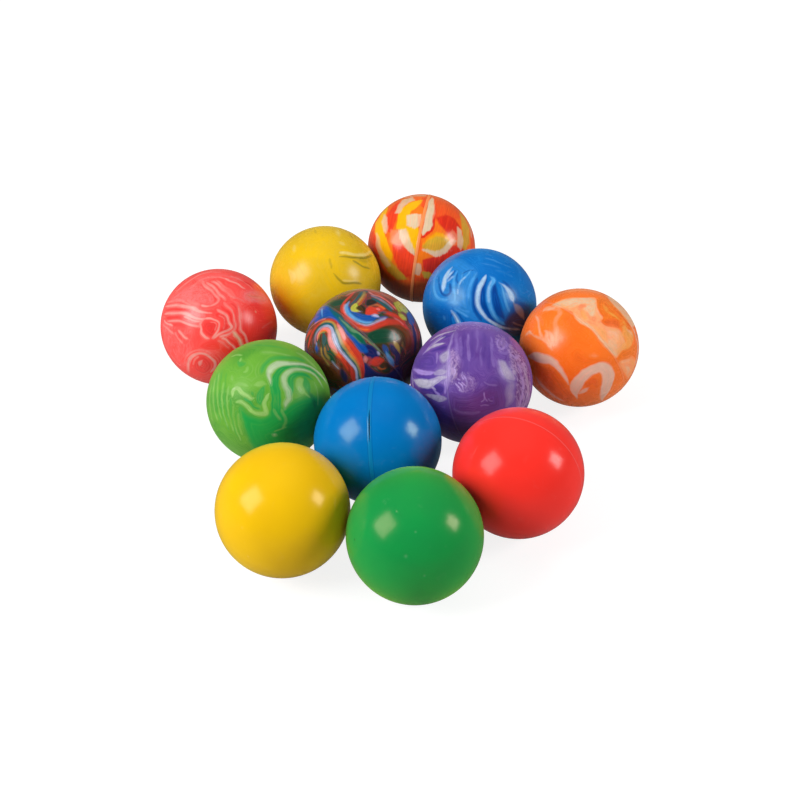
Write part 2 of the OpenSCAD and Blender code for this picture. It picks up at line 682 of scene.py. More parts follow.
class Graph:
    """The shader nodes of one material."""

    def __init__(self, name: str) -> None:
        """Starts a material with nothing but its output."""
        self.material = bpy.data.materials.new(name)
        self.material.use_nodes = True
        self.tree = self.material.node_tree
        self.tree.nodes.clear()
        self.output = self.tree.nodes.new("ShaderNodeOutputMaterial")

    def node(self, kind: str, settings: dict | None = None, inputs: dict | None = None) -> bpy.types.Node:
        """Adds any node.

        Args:
            kind: the node's type.
            settings: its own properties, set before its sockets are.
            inputs: socket names or numbers with plain values, values, or other sockets.

        Returns:
            The new node.
        """
        made = self.tree.nodes.new(kind)
        for name, setting in (settings or {}).items():
            setattr(made, name, setting)
        for name, given in (inputs or {}).items():
            source = given.socket if isinstance(given, Value) else given
            if isinstance(source, bpy.types.NodeSocket):
                self.tree.links.new(source, made.inputs[name])
            else:
                made.inputs[name].default_value = source
        return made

    def value(self, kind: str, settings: dict, inputs: dict) -> Value:
        """Adds a node and wraps its first output."""
        return Value(self, self.node(kind, settings, inputs).outputs[0])

    def attribute(self, name: str) -> list[Value]:
        """The three parts of a vector attribute of the mesh."""
        read = self.node("ShaderNodeAttribute", {"attribute_name": name})
        parts = self.node("ShaderNodeSeparateXYZ", {}, {0: read.outputs["Vector"]})
        return [Value(self, parts.outputs[axis]) for axis in range(3)]

    def noise(self, kind: Noise, seed: Value | float) -> Value:
        """Noise on the piece's own coordinates.

        Args:
            kind: which noise.
            seed: the ball's seed, or a value to move through the noise with.

        Returns:
            The noise, about 0.5 at its middle.
        """
        place = self.place
        if kind.squash != 1.0:
            inputs = {0: place, 1: (1.0, 1.0, kind.squash)}
            place = self.node("ShaderNodeVectorMath", {"operation": "MULTIPLY"}, inputs).outputs[0]
        slice_at = seed if isinstance(seed, Value) else seed + kind.offset
        inputs = {"Vector": place, "W": slice_at, "Scale": kind.scale, "Detail": kind.detail,
                  "Distortion": kind.warp}
        return self.value("ShaderNodeTexNoise", {"noise_dimensions": "4D"}, inputs)

    def streaks(self, depth: Value, seed: float) -> Value:
        """Noise that is drawn out along the marks: fine across their edges and long beside them."""
        return self.noise(STREAK, depth * STREAK_DRIFT + seed)

    def mix(self, share: Value | float, low: object, high: object) -> bpy.types.NodeSocket:
        """Blends two colours.

        Args:
            share: how much of the second one there is, from 0 to 1.
            low: the first colour, plain or a socket.
            high: the second one.

        Returns:
            The blend's socket.
        """
        low, high = (c if isinstance(c, bpy.types.NodeSocket) else (*c, 1.0) for c in (low, high))
        return self.node("ShaderNodeMix", {"data_type": "RGBA"}, {0: share, 6: low, 7: high}).outputs[2]

    def ramp(self, share: Value, colours: tuple[Colour, ...]) -> bpy.types.NodeSocket:
        """Goes through colours evenly.

        Args:
            share: where along them, from 0 to 1.
            colours: two or more of them, linear.

        Returns:
            The colour's socket.
        """
        made = self.node("ShaderNodeValToRGB", {}, {0: share})
        stops = made.color_ramp.elements
        for number, colour in enumerate(colours):
            stop = stops[number] if number < 2 else stops.new(1.0)
            stop.position = number / (len(colours) - 1)
            stop.color = (*colour, 1.0)
        return made.outputs[0]

    @property
    def place(self) -> bpy.types.NodeSocket:
        """The Object coordinates, which are the frame's own."""
        if not hasattr(self, "_place"):
            self._place = self.node("ShaderNodeTexCoord").outputs["Object"]
        return self._place


def brighter(colour: Colour, gain: float) -> Colour:
    """A colour times a gain, with no part of it above one."""
    return tuple(min(part * gain, 1.0) for part in colour)


@dataclass(frozen=True)
class Rubber:
    """The finish of one ball: cured rubber with a satin skin.

    Attributes:
        name: the material's name.
        tones: the base colour and those that it drifts to, linear.
        pigments: what is laid over it, first to last.
        vein: the colour of the fine lines that run along with the marks.
        veins: how strongly they show.
        gloss: the tint of its highlights.
        rim: the tint that its skin takes on where it is seen edge on.
        wobble: how far its marks are shifted about, as a share of the radius.
        combed: whether its streaks run alongside the seam instead of alongside each mark.
        bead: the colour of the parting line's crown, where it isn't just a worn base colour.
        bead_share: how strongly the crown's colour shows.
        roughness: of the clean skin.
        dust: how much pale scuffing shows.
        seed: which noise the ball has.
    """

    name: str
    tones: tuple[Colour, ...]
    pigments: list[Pigment] = field(default_factory=list)
    vein: Colour = (0.5, 0.5, 0.5)
    veins: float = 0.0
    gloss: Colour = (1.0, 1.0, 1.0)
    rim: Colour = (1.0, 0.9, 0.8)
    wobble: float = 0.004
    combed: bool = False
    bead: Colour | None = None
    bead_share: float = 0.15
    roughness: float = 0.2
    dust: float = 0.06
    seed: float = 0.0

    def material(self) -> bpy.types.Material:
        """Builds the material."""
        graph = Graph(self.name)
        grain, edge, cloud = (graph.noise(kind, self.seed) for kind in (GRAIN, EDGE, CLOUD))
        flow, seam, shade = graph.attribute("flow")
        colour = self.base(graph, cloud, graph.streaks(flow, self.seed + BASE_STREAKS))
        crackle = graph.noise(CRACKLE, self.seed)
        rough = self.roughness + (edge - 0.5) * ROUGHNESS_DRIFT
        for number, pigment in enumerate(self.pigments):
            depth, strength, soft = graph.attribute(pigment.name)
            seed = self.seed + PIGMENT_STREAKS + NEXT_PIGMENT * number
            streak = graph.streaks(flow if self.combed else depth, seed)
            unevenness = (streak - 0.5) * (STREAK_SHIFT * pigment.ragged * PERCENT)
            shifted = depth + unevenness + (edge - 0.5) * (EDGE_SHIFT * PERCENT)
            body = (shifted / soft + 0.5).eased(0.0, 1.0)
            cover = strength * (1.0 - streak.eased(*GAPS) * pigment.streaky)
            if pigment.crackled:
                thinner = (body - 1.0) * THINNER_EDGE
                specks = crackle * CRACKLE_SHARE + cloud * (1.0 - CRACKLE_SHARE) + thinner
                specks = specks.eased(*SPECKS)
                cover = cover * (1.0 - (1.0 - specks) * pigment.crackled)
            mask = body * cover
            tone = edge.eased(*FINE_TONE) * FINE_SHARE + streak.eased(*STREAK_TONE) * (1.0 - FINE_SHARE)
            darker, paler = (brighter(pigment.colour, 1.0 + way * pigment.mottle) for way in (-1, 1))
            colour = graph.mix(mask, colour, graph.mix(tone, darker, paler))
            if pigment.dull:
                rough = rough + mask * pigment.dull
        colour = self.worn(graph, colour, seam, shade)
        scuff = graph.noise(SCUFF, self.seed).eased(*SCUFFS) * self.dust
        colour = graph.mix(scuff, colour, self.crown)
        height = grain * GRAIN_SHARE + edge * (1.0 - GRAIN_SHARE)
        skin = {"Strength": RELIEF, "Distance": RELIEF_DEPTH, "Height": height}
        inputs = {
            "Base Color": colour,
            "Roughness": rough + scuff * SCUFF_ROUGHNESS,
            "Normal": graph.node("ShaderNodeBump", {}, skin).outputs[0],
            "Specular IOR Level": SHINE,
            "Specular Tint": (*self.gloss, 1.0),
            "Sheen Weight": BLOOM,
            "Sheen Roughness": BLOOM_ROUGHNESS,
            "Sheen Tint": (*self.rim, 1.0),
        }
        shader = graph.node("ShaderNodeBsdfPrincipled", {}, inputs)
        graph.tree.links.new(shader.outputs[0], graph.output.inputs[0])
        return graph.material

    def base(self, graph: Graph, cloud: Value, fibre: Value) -> bpy.types.NodeSocket:
        """The colour below the pigments.

        Args:
            graph: the material's nodes.
            cloud: broad noise.
            fibre: noise that is drawn out along the marks.

        Returns:
            The tones, drifting into each other, with the veins over them.
        """
        if len(self.tones) > 2:
            colour = graph.ramp((fibre - RAMP_START) * RAMP_GAIN, self.tones)
        else:
            drift = (cloud + fibre * LESSER_SHARE).eased(*SECOND_TONE)
            colour = graph.mix(drift, self.tones[0], self.tones[1])
        if self.veins:
            contour = ((fibre + cloud * LESSER_SHARE) * (VEIN_TURNS * math.tau)).math("SINE")
            where = graph.noise(VEINED, self.seed).eased(*VEIN_PLACES)
            colour = graph.mix(contour.eased(*VEIN_LINES) * where * self.veins, colour, self.vein)
        return colour

    def worn(
        self, graph: Graph, colour: bpy.types.NodeSocket, seam: Value, shade: Value
    ) -> bpy.types.NodeSocket:
        """The colour with the bead's crown and the specks over it, and with shade painted into the creases
        and the slit.

        Args:
            graph: the material's nodes.
            colour: the colour so far.
            seam: above zero on the bead's crown, below it in its creases, where shade is painted.
            shade: above zero in the slit, where shade is painted, and in dark specks, below it in pale ones.

        Returns:
            The colour with the crown, the painted shade of the creases and the slit, and the specks.
        """
        creases = (0.0 - seam).eased(0.0, 1.0) * CREASE_SHARE
        pale = (0.0 - shade).eased(0.0, 1.0)
        colour = graph.mix(seam.eased(0.0, 1.0) * self.bead_share, colour, self.bead or self.crown)
        # Painted shade: darker in the creases beside the bead.
        colour = graph.mix(creases, colour, brighter(self.tones[0], CREASE_GAIN))
        # Painted shade: darker on the slit's floor.
        colour = graph.mix(shade.eased(0.0, 1.0), colour, brighter(self.tones[0], SLIT_GAIN))
        return graph.mix(pale, colour, self.crown)

    @property
    def crown(self) -> Colour:
        """The paler colour of worn rubber: the base colour, part of the way to a pale grey."""
        return tuple(part * (1.0 - WORN_SHARE) + WORN_SHARE * WORN_GREY for part in self.tones[0])


@dataclass
class Ball:
    """One solid moulded ball.

    Attributes:
        node: the CAD node that it stands for, which is also its body.
        seam: its parting line.
        rubber: its finish.
        slit: an opening in the seam, if it has one.
        nicks: small dents and specks.
        columns: how many steps the surface has round the seam.
        step: how far apart its rows are off the seam, in degrees.
        bead_rows: how many rows cross the seam.
        bead_reach: how far to each side of the seam they go, in widths of the bead.
    """

    node: str
    seam: Seam
    rubber: Rubber
    slit: Slit | None = None
    nicks: list[Nick] = field(default_factory=list)
    columns: int = 384
    step: float = 0.95
    bead_rows: int = 20
    bead_reach: float = 0.8

    def centre(self) -> np.ndarray:
        """The middle of the ball's CAD box."""
        low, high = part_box(self.node)
        return (np.array(low) + np.array(high)) / 2.0

    def latitudes(self) -> np.ndarray:
        """Rows from pole to pole, without the poles: even, and closer together on the bead."""
        edge = self.bead_reach * self.seam.width / BALL_RADIUS
        fine = np.linspace(-edge, edge, self.bead_rows)
        count = round((90.0 - math.degrees(edge)) / self.step)
        coarse = np.linspace(edge, math.pi / 2.0, count + 1)[1:-1]
        return np.concatenate([-coarse[::-1], fine, coarse])

    def surface(self) -> tuple[np.ndarray, np.ndarray, np.ndarray]:
        """Directions and distances of the surface's points from the centre.

        The rows of points go round the seam's axis at each latitude, and the two poles come last.

        Returns:
            Unit directions, one row each, distances, and the seam's and the slit's tints, which carry painted
            shade, one row each.
        """
        latitude = self.latitudes()
        longitude = np.arange(self.columns) * (2.0 * math.pi / self.columns)
        lat, lon = np.meshgrid(latitude, longitude, indexing="ij")
        local = np.stack([np.cos(lat) * np.cos(lon), np.cos(lat) * np.sin(lon), np.sin(lat)], axis=-1)
        radius = self.seam.radius(lat)
        crease = self.seam.tint(lat)
        shade = np.zeros_like(lat)
        if self.slit:
            sink = self.slit.sink(lat, lon)
            radius = radius - sink
            # Painted shade: darker towards the slit's floor.
            shade = smooth_step(sink / self.slit.depth * self.slit.darkening)
        local = np.vstack([local.reshape(-1, 3), [[0.0, 0.0, -1.0], [0.0, 0.0, 1.0]]])
        radius = np.append(radius.ravel(), [BALL_RADIUS, BALL_RADIUS])
        tints = np.stack([crease.ravel(), shade.ravel()], axis=1)
        tints = np.vstack([tints, np.zeros((2, 2))])
        return local @ self.seam.axes(), radius, tints

    def faces(self) -> tuple[np.ndarray, np.ndarray]:
        """The faces, outwards.

        Returns:
            The quads between neighbouring rows, and the triangles that close the two poles.
        """
        rows = len(self.latitudes())
        first = np.arange(rows - 1)[:, None] * self.columns
        here = np.arange(self.columns)[None, :]
        after = (here + 1) % self.columns
        quads = np.stack(
            [first + here, first + after, first + self.columns + after, first + self.columns + here], axis=-1
        )
        here, after = here[0], after[0]
        last = (rows - 1) * self.columns
        south, north = rows * self.columns, rows * self.columns + 1
        fans = np.vstack(
            [
                np.column_stack([after, here, np.full_like(here, south)]),
                np.column_stack([last + here, last + after, np.full_like(here, north)]),
            ]
        )
        return quads.reshape(-1, 4), fans

    def add(self) -> bpy.types.Object:
        """Builds the ball, dresses it and puts it in its node's place."""
        centre = self.centre()
        directions, radius, tints = self.surface()
        facings = [Facing.of(centre, place) for place in Place]
        for nick in self.nicks:
            spot = facings[0].directions(np.array([nick.point]) * PERCENT)[0]
            away = np.linalg.norm(directions - spot, axis=1) / (nick.radius * PERCENT)
            dome = np.exp(-away * away)
            radius = radius - nick.depth * dome
            tints[:, 1] += nick.shade * dome
        vertices = centre + directions * radius[:, None]
        quads, fans = self.faces()
        piece = self.mesh(vertices, quads, fans)
        flow = np.full(len(radius), -REACH)
        places = wobbled(directions, self.rubber.seed, self.rubber.wobble)
        for pigment in self.rubber.pigments:
            rows = pigment.field(places, facings)
            self.attribute(piece.data, pigment.name, rows)
            flow = np.maximum(flow, rows[:, 0])
        if self.rubber.combed:
            flow = np.arcsin(directions @ self.seam.axes()[2])
        self.attribute(piece.data, "flow", np.column_stack([flow, tints]))
        piece.data.materials.append(self.rubber.material())
        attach(piece, self.node)
        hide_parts(self.node)
        LOG.info("%s: %d points, %d pigments", piece.name, len(radius), len(self.rubber.pigments))
        return piece

    def mesh(self, vertices: np.ndarray, quads: np.ndarray, fans: np.ndarray) -> bpy.types.Object:
        """Puts the points and faces into a smooth mesh object.

        Args:
            vertices: the points, one row each.
            quads: the faces with four corners, one row each.
            fans: the faces with three.

        Returns:
            The object, at the origin.
        """
        data = bpy.data.meshes.new(self.node + "_skin")
        loops = np.concatenate([quads.ravel(), fans.ravel()])
        sizes = np.concatenate([np.full(len(quads), 4), np.full(len(fans), 3)])
        data.vertices.add(len(vertices))
        data.vertices.foreach_set("co", vertices.astype(np.float32).ravel())
        data.loops.add(len(loops))
        data.loops.foreach_set("vertex_index", loops.astype(np.int32))
        data.polygons.add(len(sizes))
        starts = np.concatenate([[0], np.cumsum(sizes)[:-1]])
        data.polygons.foreach_set("loop_start", starts.astype(np.int32))
        data.polygons.foreach_set("use_smooth", np.ones(len(sizes), bool))
        data.update(calc_edges=True)
        data.validate()
        piece = bpy.data.objects.new(self.node + "_skin", data)
        bpy.context.scene.collection.objects.link(piece)
        return piece

    @staticmethod
    def attribute(data: bpy.types.Mesh, name: str, rows: np.ndarray) -> None:
        """Gives the mesh a vector attribute, one row per point."""
        made = data.attributes.new(name, "FLOAT_VECTOR", "POINT")
        made.data.foreach_set("vector", rows.astype(np.float32).ravel())


def patchwork() -> Ball:
    """Red, orange, yellow and cream patches and bands, drawn out alongside the parting line."""
    amber = Pigment("amber", seen(1.0, 0.47, 0.1), [
        Chip("-36,92 -20,90 -4,84 6,90 14,96 6,72 0,62 -24,63 -28,72", soft=3),
        Chip("-64,34 -56,26 -44,36 -40,60 -32,80 -42,80 -52,62 -56,46", strength=0.8, soft=5),
        Chip("-66,6 -54,28 -50,8 -46,-10 -40,-38 -56,-22"),
        Chip("22,54 36,40 48,30 58,20 46,24 30,28 14,20 4,6 2,18 20,34"),
        Chip("0,-6 8,-8 18,-14 4,-20 -6,-28 -12,-26 -8,-14"),
        Chip("84,50 92,40 92,10 86,4 88,24", strength=0.8),
    ], spread=2.0, mottle=0.12, streaky=0.3)
    red = Pigment("red", seen(0.95, 0.25, 0.14), [
        Chip("-42,86 -52,78 -62,64 -68,48 -66,34 -58,30 -52,42 -46,60 -42,72"),
        Chip("-52,6 -38,10 -28,0 -15,-12 -14,-28 -18,-46 -28,-52 -40,-40 -50,-20"),
        Chip("3,92 14,97 11,86 6,74 0,78", strength=0.8, soft=3),
        Chip("24,92 44,88 66,74 76,58 62,56 44,60 24,56", strength=0.55, soft=6),
        Chip("-99,26 -88,32 -86,8 -78,-14 -90,-8", strength=0.8),
        Chip("88,58 98,30 99,0 92,2 92,32", strength=0.8),
    ], spread=2.0, mottle=0.15, streaky=0.25)
    scarlet = Pigment("scarlet", seen(0.88, 0.16, 0.1), [
        Chip("30,56 46,60 62,54 72,38 67,24 58,20 48,32 37,44", soft=7),
        Chip("4,-22 20,-18 34,-16 48,-8 60,3 72,5 84,-4 60,-30 24,-46 6,-40"),
        Stroke("1,20 8,28 17,34 22,42 23,58 25,78", width=[2, 4, 4, 3, 2, 2], soft=2.5),
        Stroke("-24,-50 -10,-56 10,-57 24,-58", width=6, strength=0.6, soft=5),
    ], spread=2.0, mottle=0.15, streaky=0.25)
    yellow = Pigment("yellow", seen(1.0, 0.72, 0.04), [
        Chip("0,89 -12,86 -24,82 -34,74 -40,62 -44,48 -45,38 -30,36 -27,48 -25,60 -20,70 -10,77", soft=3),
        Chip("-27,39 -9,39 -8,24 -9,8 -12,-6 -18,6 -24,22", soft=3),
        Chip("-62,78 -72,68 -84,48 -85,30 -79,8 -70,-12 -58,-26 -55,-12 -64,8 -71,28 -73,46 -68,62"),
        Chip("6,8 16,20 28,27 40,25 51,17 42,13 26,12", strength=0.75, soft=6),
    ], spread=2.0, mottle=0.12, streaky=0.2)
    olive = Pigment("olive", seen(0.82, 0.65, 0.2), [
        Chip("-82,0 -74,-10 -62,-20 -50,-34 -38,-46 -28,-56 -44,-58 -60,-44 -74,-22", soft=5),
        Chip("3,4 14,14 28,20 42,18 54,12 48,2 36,-5 22,-8 8,-4", strength=0.9, soft=6),
        Chip("2,-44 12,-44 22,-48 20,-55 6,-53"),
        Chip("72,66 80,56 88,36 88,10 82,-4 76,2 78,24 76,44", strength=0.85, soft=5),
    ], spread=1.5, mottle=0.18, streaky=0.2)
    # Darker towards the bottom: partly a maroon pigment and partly painted shade under the ball. The two thin
    # strokes are painted shadow lines beside the bead.
    maroon_and_painted_shade = Pigment("maroon_and_painted_shade", seen(0.38, 0.09, 0.06), [
        Patch("-98,0 -86,-8 -74,-30 -58,-50 -40,-62 -22,-66 0,-60 20,-58 40,-62 60,-82 0,-100 -60,-80",
              strength=0.75, soft=20),
        Stroke("12,86 7,70 3,52 -1,34", width=1.5, strength=0.6, soft=2),
        Stroke("-9,2 -12,-14 -15,-34 -17,-54", width=2, strength=0.6, soft=2.5),
    ], mottle=0.15, streaky=0.15)
    cream = Pigment("cream", seen(0.88, 0.78, 0.64), [
        Chip("19,93 14,85 11,73 8,60 6,48 3,38 1,29 3,25 9,32 16,36 20,44 21,58 23,72 22,84", soft=2.5),
        Chip("-26,61 -14,63 -3,62 -2,52 -6,43 -14,38 -27,43"),
        Chip("-47,66 -40,66 -36,76 -26,84 -14,89 -18,94 -32,90 -42,80", strength=0.85),
        Chip("-41,34 -30,35 -25,24 -20,10 -14,-4 -13,-12 -21,-6 -31,6 -39,20", strength=0.9, soft=3.5),
        Chip("-70,62 -65,56 -64,40 -66,28 -71,36 -73,50", strength=0.8),
        Chip("-84,28 -80,20 -76,2 -68,-16 -58,-32 -64,-34 -76,-16 -84,4", strength=0.6),
        Chip("2,-2 14,-8 27,-14 37,-13 48,-6 57,6 64,14 58,16 50,8 40,-2 26,-7 12,-3", strength=0.85,
             soft=3.5),
        Chip("68,38 74,32 77,14 74,-2 69,4 68,20", strength=0.75),
        Chip("-14,-27 -4,-30 -1,-40 -6,-48 -14,-46", strength=0.75, soft=3.5),
        Stroke("84,54 91,38 93,22", strength=0.5, soft=5),
        Stroke("-30,94 -12,97 6,97", strength=0.7),
    ], spread=1.5, mottle=0.1, streaky=0.25)
    rose = Pigment("rose", seen(1.0, 0.58, 0.42), [
        # Painted highlight, where the left lamp's highlight falls.
        Chip("-58,34 -42,34 -38,16 -30,4 -44,4 -56,10", strength=0.6, soft=6),
        Chip("-8,62 -2,60 -1,46 -7,42", strength=0.6),
        Stroke("23,84 25,70 22,54", width=3, strength=0.6, soft=3),
        # Painted highlight, where the right lamp's highlight falls.
        Chip("50,24 58,34 66,24 64,8 56,6", strength=0.6, soft=5),
    ], mottle=0.1, streaky=0.2)
    rubber = Rubber("patchwork_rubber",
                    (seen(0.97, 0.32, 0.12), seen(0.98, 0.38, 0.12), seen(1.0, 0.44, 0.12),
                     seen(0.97, 0.34, 0.12), seen(0.95, 0.29, 0.12)),
                    [amber, red, scarlet, yellow, olive, maroon_and_painted_shade, cream, rose], vein=seen(1.0, 0.55, 0.2),
                    veins=0.1, rim=(1.0, 0.5, 0.2), combed=True, bead=seen(1.0, 0.6, 0.36), bead_share=0.8,
                    seed=1.0)
    return Ball("patchwork_ball", Seam(84.5, 169.5, 0.12 * MM, 1.4 * MM), rubber)


def yellow_marble() -> Ball:
    """Yellow, with a few thin dark lines and pale smears."""
    pale = Pigment("pale", seen(0.93, 0.85, 0.55), [
        Stroke("24,53 40,52 55,49 70,49 82,55", strength=0.7),
        Stroke("22,94 25,82", width=12, strength=0.4, soft=6),
        Stroke("26,72 36,66", width=12, strength=0.35, soft=6),
        Stroke("-56,66 -56,54", width=9, strength=0.3, soft=6),
        Stroke("-66,22 -60,10 -60,-2", width=10, strength=0.35, soft=6),
        Stroke("30,2 46,1 60,0", width=4, strength=0.5),
    ])
    line = Pigment("line", seen(0.58, 0.5, 0.12), [
        Stroke("24,46 40,46 52,44 62,43 75,44 85,47", width=[1.5, 3, 4, 4, 6, 4]),
        Stroke("50,39 60,33 70,26 81,23", width=4, strength=0.85),
        Patch("52,43 75,40 84,42 76,33 64,37", strength=0.35, soft=5),
        Stroke("7,43 9,36 12,30 12,24", width=3.5, strength=0.45),
        Stroke("14,16 20,8 28,0 34,-3 50,-3 66,-4", width=[1.5, 3, 3.5, 4, 4, 3], strength=0.9),
        Stroke("42,88 51,76", width=3, strength=0.6),
        Stroke("-18,93 -16,87", width=4, strength=0.4),
        Stroke("-50,38 -42,18 -38,10", width=3, strength=0.3),
    ])
    rubber = Rubber("yellow_marble_rubber", (seen(0.93, 0.745, 0.05), seen(0.88, 0.71, 0.11)), [pale, line],
                    vein=seen(0.9, 0.76, 0.25), veins=0.25, rim=(1.0, 0.8, 0.2), roughness=0.27, seed=5.0)
    return Ball("yellow_marble_ball", Seam(57, -84), rubber)


def blue_marble() -> Ball:
    """Blue, with white and light blue streaks that curve alongside each other."""
    azure = Pigment("azure", seen(0.18, 0.53, 0.82), [
        Patch("-84,50 -66,68 -40,82 -14,70 -4,56 -10,36 -14,10 -12,-16 -30,-10 -50,2 -72,6 -84,20",
              strength=0.75, soft=12),
        Stroke("-40,90 -20,92 0,94", width=8, strength=0.4, soft=8),
        Stroke("-26,-12 -12,-18 2,-28", width=12, strength=0.7, soft=8),
        Stroke("40,34 44,16 50,-2 56,-14", width=[6, 8, 8, 4], strength=0.45, soft=7),
    ], mottle=0.25, streaky=0.7)
    deep = Pigment("deep", seen(0.0, 0.2, 0.54), [
        Stroke("-71,52 -71,36 -66,22 -57,19 -51,26 -52,40", width=4, strength=0.75),
        Stroke("13,47 8,37 6,24 6,10 9,-2 17,-16 29,-29 44,-36", width=[5, 8, 9, 9, 9, 8, 7, 5],
               strength=0.85),
        Stroke("28,42 27,25 29,8 34,-8 45,-24", width=[4, 10, 13, 14, 9], strength=0.85),
        Stroke("-4,48 -9,28 -10,8 -7,-10 4,-26", strength=0.75),
        Stroke("40,44 51,34 62,22 68,6", width=3.5, strength=0.75),
        Stroke("-54,46 -48,54 -42,62", width=3, strength=0.8),
        Stroke("-38,58 -40,46 -36,38", width=3, strength=0.7),
        Stroke("-30,56 -18,62 -8,62", width=3, strength=0.7),
        Stroke("-47,-12 -51,-24 -48,-36", width=4, strength=0.7),
        Stroke("-40,-12 -32,-22 -26,-30", width=4, strength=0.7),
        Patch("-92,-4 -70,-4 -52,-10 -52,-40 -74,-44 -90,-26", strength=0.4, soft=16),
        Patch("60,0 66,10 90,-6 80,-36 45,-34 50,-16", strength=0.7, soft=10),
    ])
    # Darker low on the right: partly a dark pigment and partly painted shade.
    maroon_and_painted_shade = Pigment("maroon_and_painted_shade", seen(0.22, 0.13, 0.2), [
        Patch("56,-16 70,-10 86,-14 86,-44 60,-52 42,-40 48,-26", strength=0.7, soft=10),
    ])
    light = Pigment("light", seen(0.34, 0.66, 0.9), [
        Stroke("19,52 25,45 20,34 17,22 17,8 20,-5 26,-16 34,-27 46,-33", width=[3, 7, 7, 7, 7, 6, 6, 5, 2]),
        Stroke("-72,62 -79,45 -80,28 -74,15 -62,10 -52,12", width=[3, 5, 6, 6, 6, 4], strength=0.7, soft=5),
        Stroke("-38,62 -44,48 -45,32 -43,15 -45,0", width=[2, 4, 5, 5, 3], strength=0.8),
        Stroke("-14,63 -20,54 -30,45 -36,38 -36,30", width=[2, 4, 4, 4, 2], strength=0.9),
        Stroke("-28,60 -30,50 -28,38", width=3, strength=0.5, soft=3),
        Stroke("-4,58 -12,44 -18,28 -19,10", width=[3, 6, 6, 4], strength=0.6, soft=5),
        Stroke("-30,30 -28,10 -24,-4", strength=0.4, soft=6),
        Stroke("34,42 40,32 43,20 47,4 53,-9", width=[2, 4, 4.5, 4, 2], strength=0.85),
        Stroke("-44,-5 -32,-13 -20,-20", width=[2, 4, 2], strength=0.9),
        Stroke("-38,-4 -28,-9 -18,-11", width=3, strength=0.5),
        Stroke("10,83 25,79 42,72", width=3, strength=0.5),
        Stroke("2,74 20,71 36,66", width=2.5, strength=0.3),
        Stroke("42,72 56,66", width=3, strength=0.5),
        Stroke("30,62 44,58 58,50", width=2.5, strength=0.3),
        Stroke("-63,-18 -60,-26", width=6, strength=0.6, soft=5),
        Stroke("-54,6 -36,4", width=9, strength=0.5, soft=6),
    ], streaky=0.6, crackled=0.25)
    white = Pigment("white", seen(0.7, 0.81, 0.9), [
        Stroke("-64,26 -63,36 -60,48 -55,58 -48,67", width=[8, 9, 8, 6, 3]),
        Stroke("-58,46 -52,54 -46,60", width=[3, 4, 2]),
        Stroke("-56,42 -50,48 -44,52", width=[2, 3, 2], strength=0.7),
        Stroke("12,54 6,42 0,30 -3,16 -3,3 2,-9 11,-20 22,-29 36,-36 52,-40 72,-42",
               width=[4, 7, 7, 7, 7, 6, 5, 4.5, 4, 3.5, 2.5]),
        Stroke("22,46 18,34 16,20 17,6", width=[2, 3, 3, 2], strength=0.5),
        Stroke("34,41 44,34 53,24 58,14 61,6", width=[1, 3, 7, 8, 3]),
        Stroke("-49,-9 -42,-20 -34,-34", width=[3, 6, 8]),
        Stroke("-38,30 -38,20", width=3, strength=0.6),
        Stroke("-24,50 -32,43 -35,36", width=2.5, strength=0.7),
    ], streaky=0.45, crackled=0.2, dull=0.2)
    # Painted reflection of a neighbouring ball, low on the right.
    peach_and_painted_light = Pigment("peach_and_painted_light", seen(0.52, 0.52, 0.58), [
        Stroke("61,4 68,-4 74,-13 79,-24", width=[6, 13, 12, 6], strength=0.85, soft=5),
        Stroke("58,-29 68,-33 80,-36", width=2.5, strength=0.6),
    ])
    rubber = Rubber("blue_marble_rubber", (seen(0.0, 0.41, 0.74), seen(0.02, 0.44, 0.77)),
                    [azure, deep, maroon_and_painted_shade, light, white, peach_and_painted_light], vein=seen(0.15, 0.55, 0.85), veins=0.4,
                    gloss=(0.8, 1.0, 0.8), rim=(0.1, 0.5, 1.0), roughness=0.26, seed=9.0)
    return Ball("blue_marble_ball", Seam(52, -96), rubber)


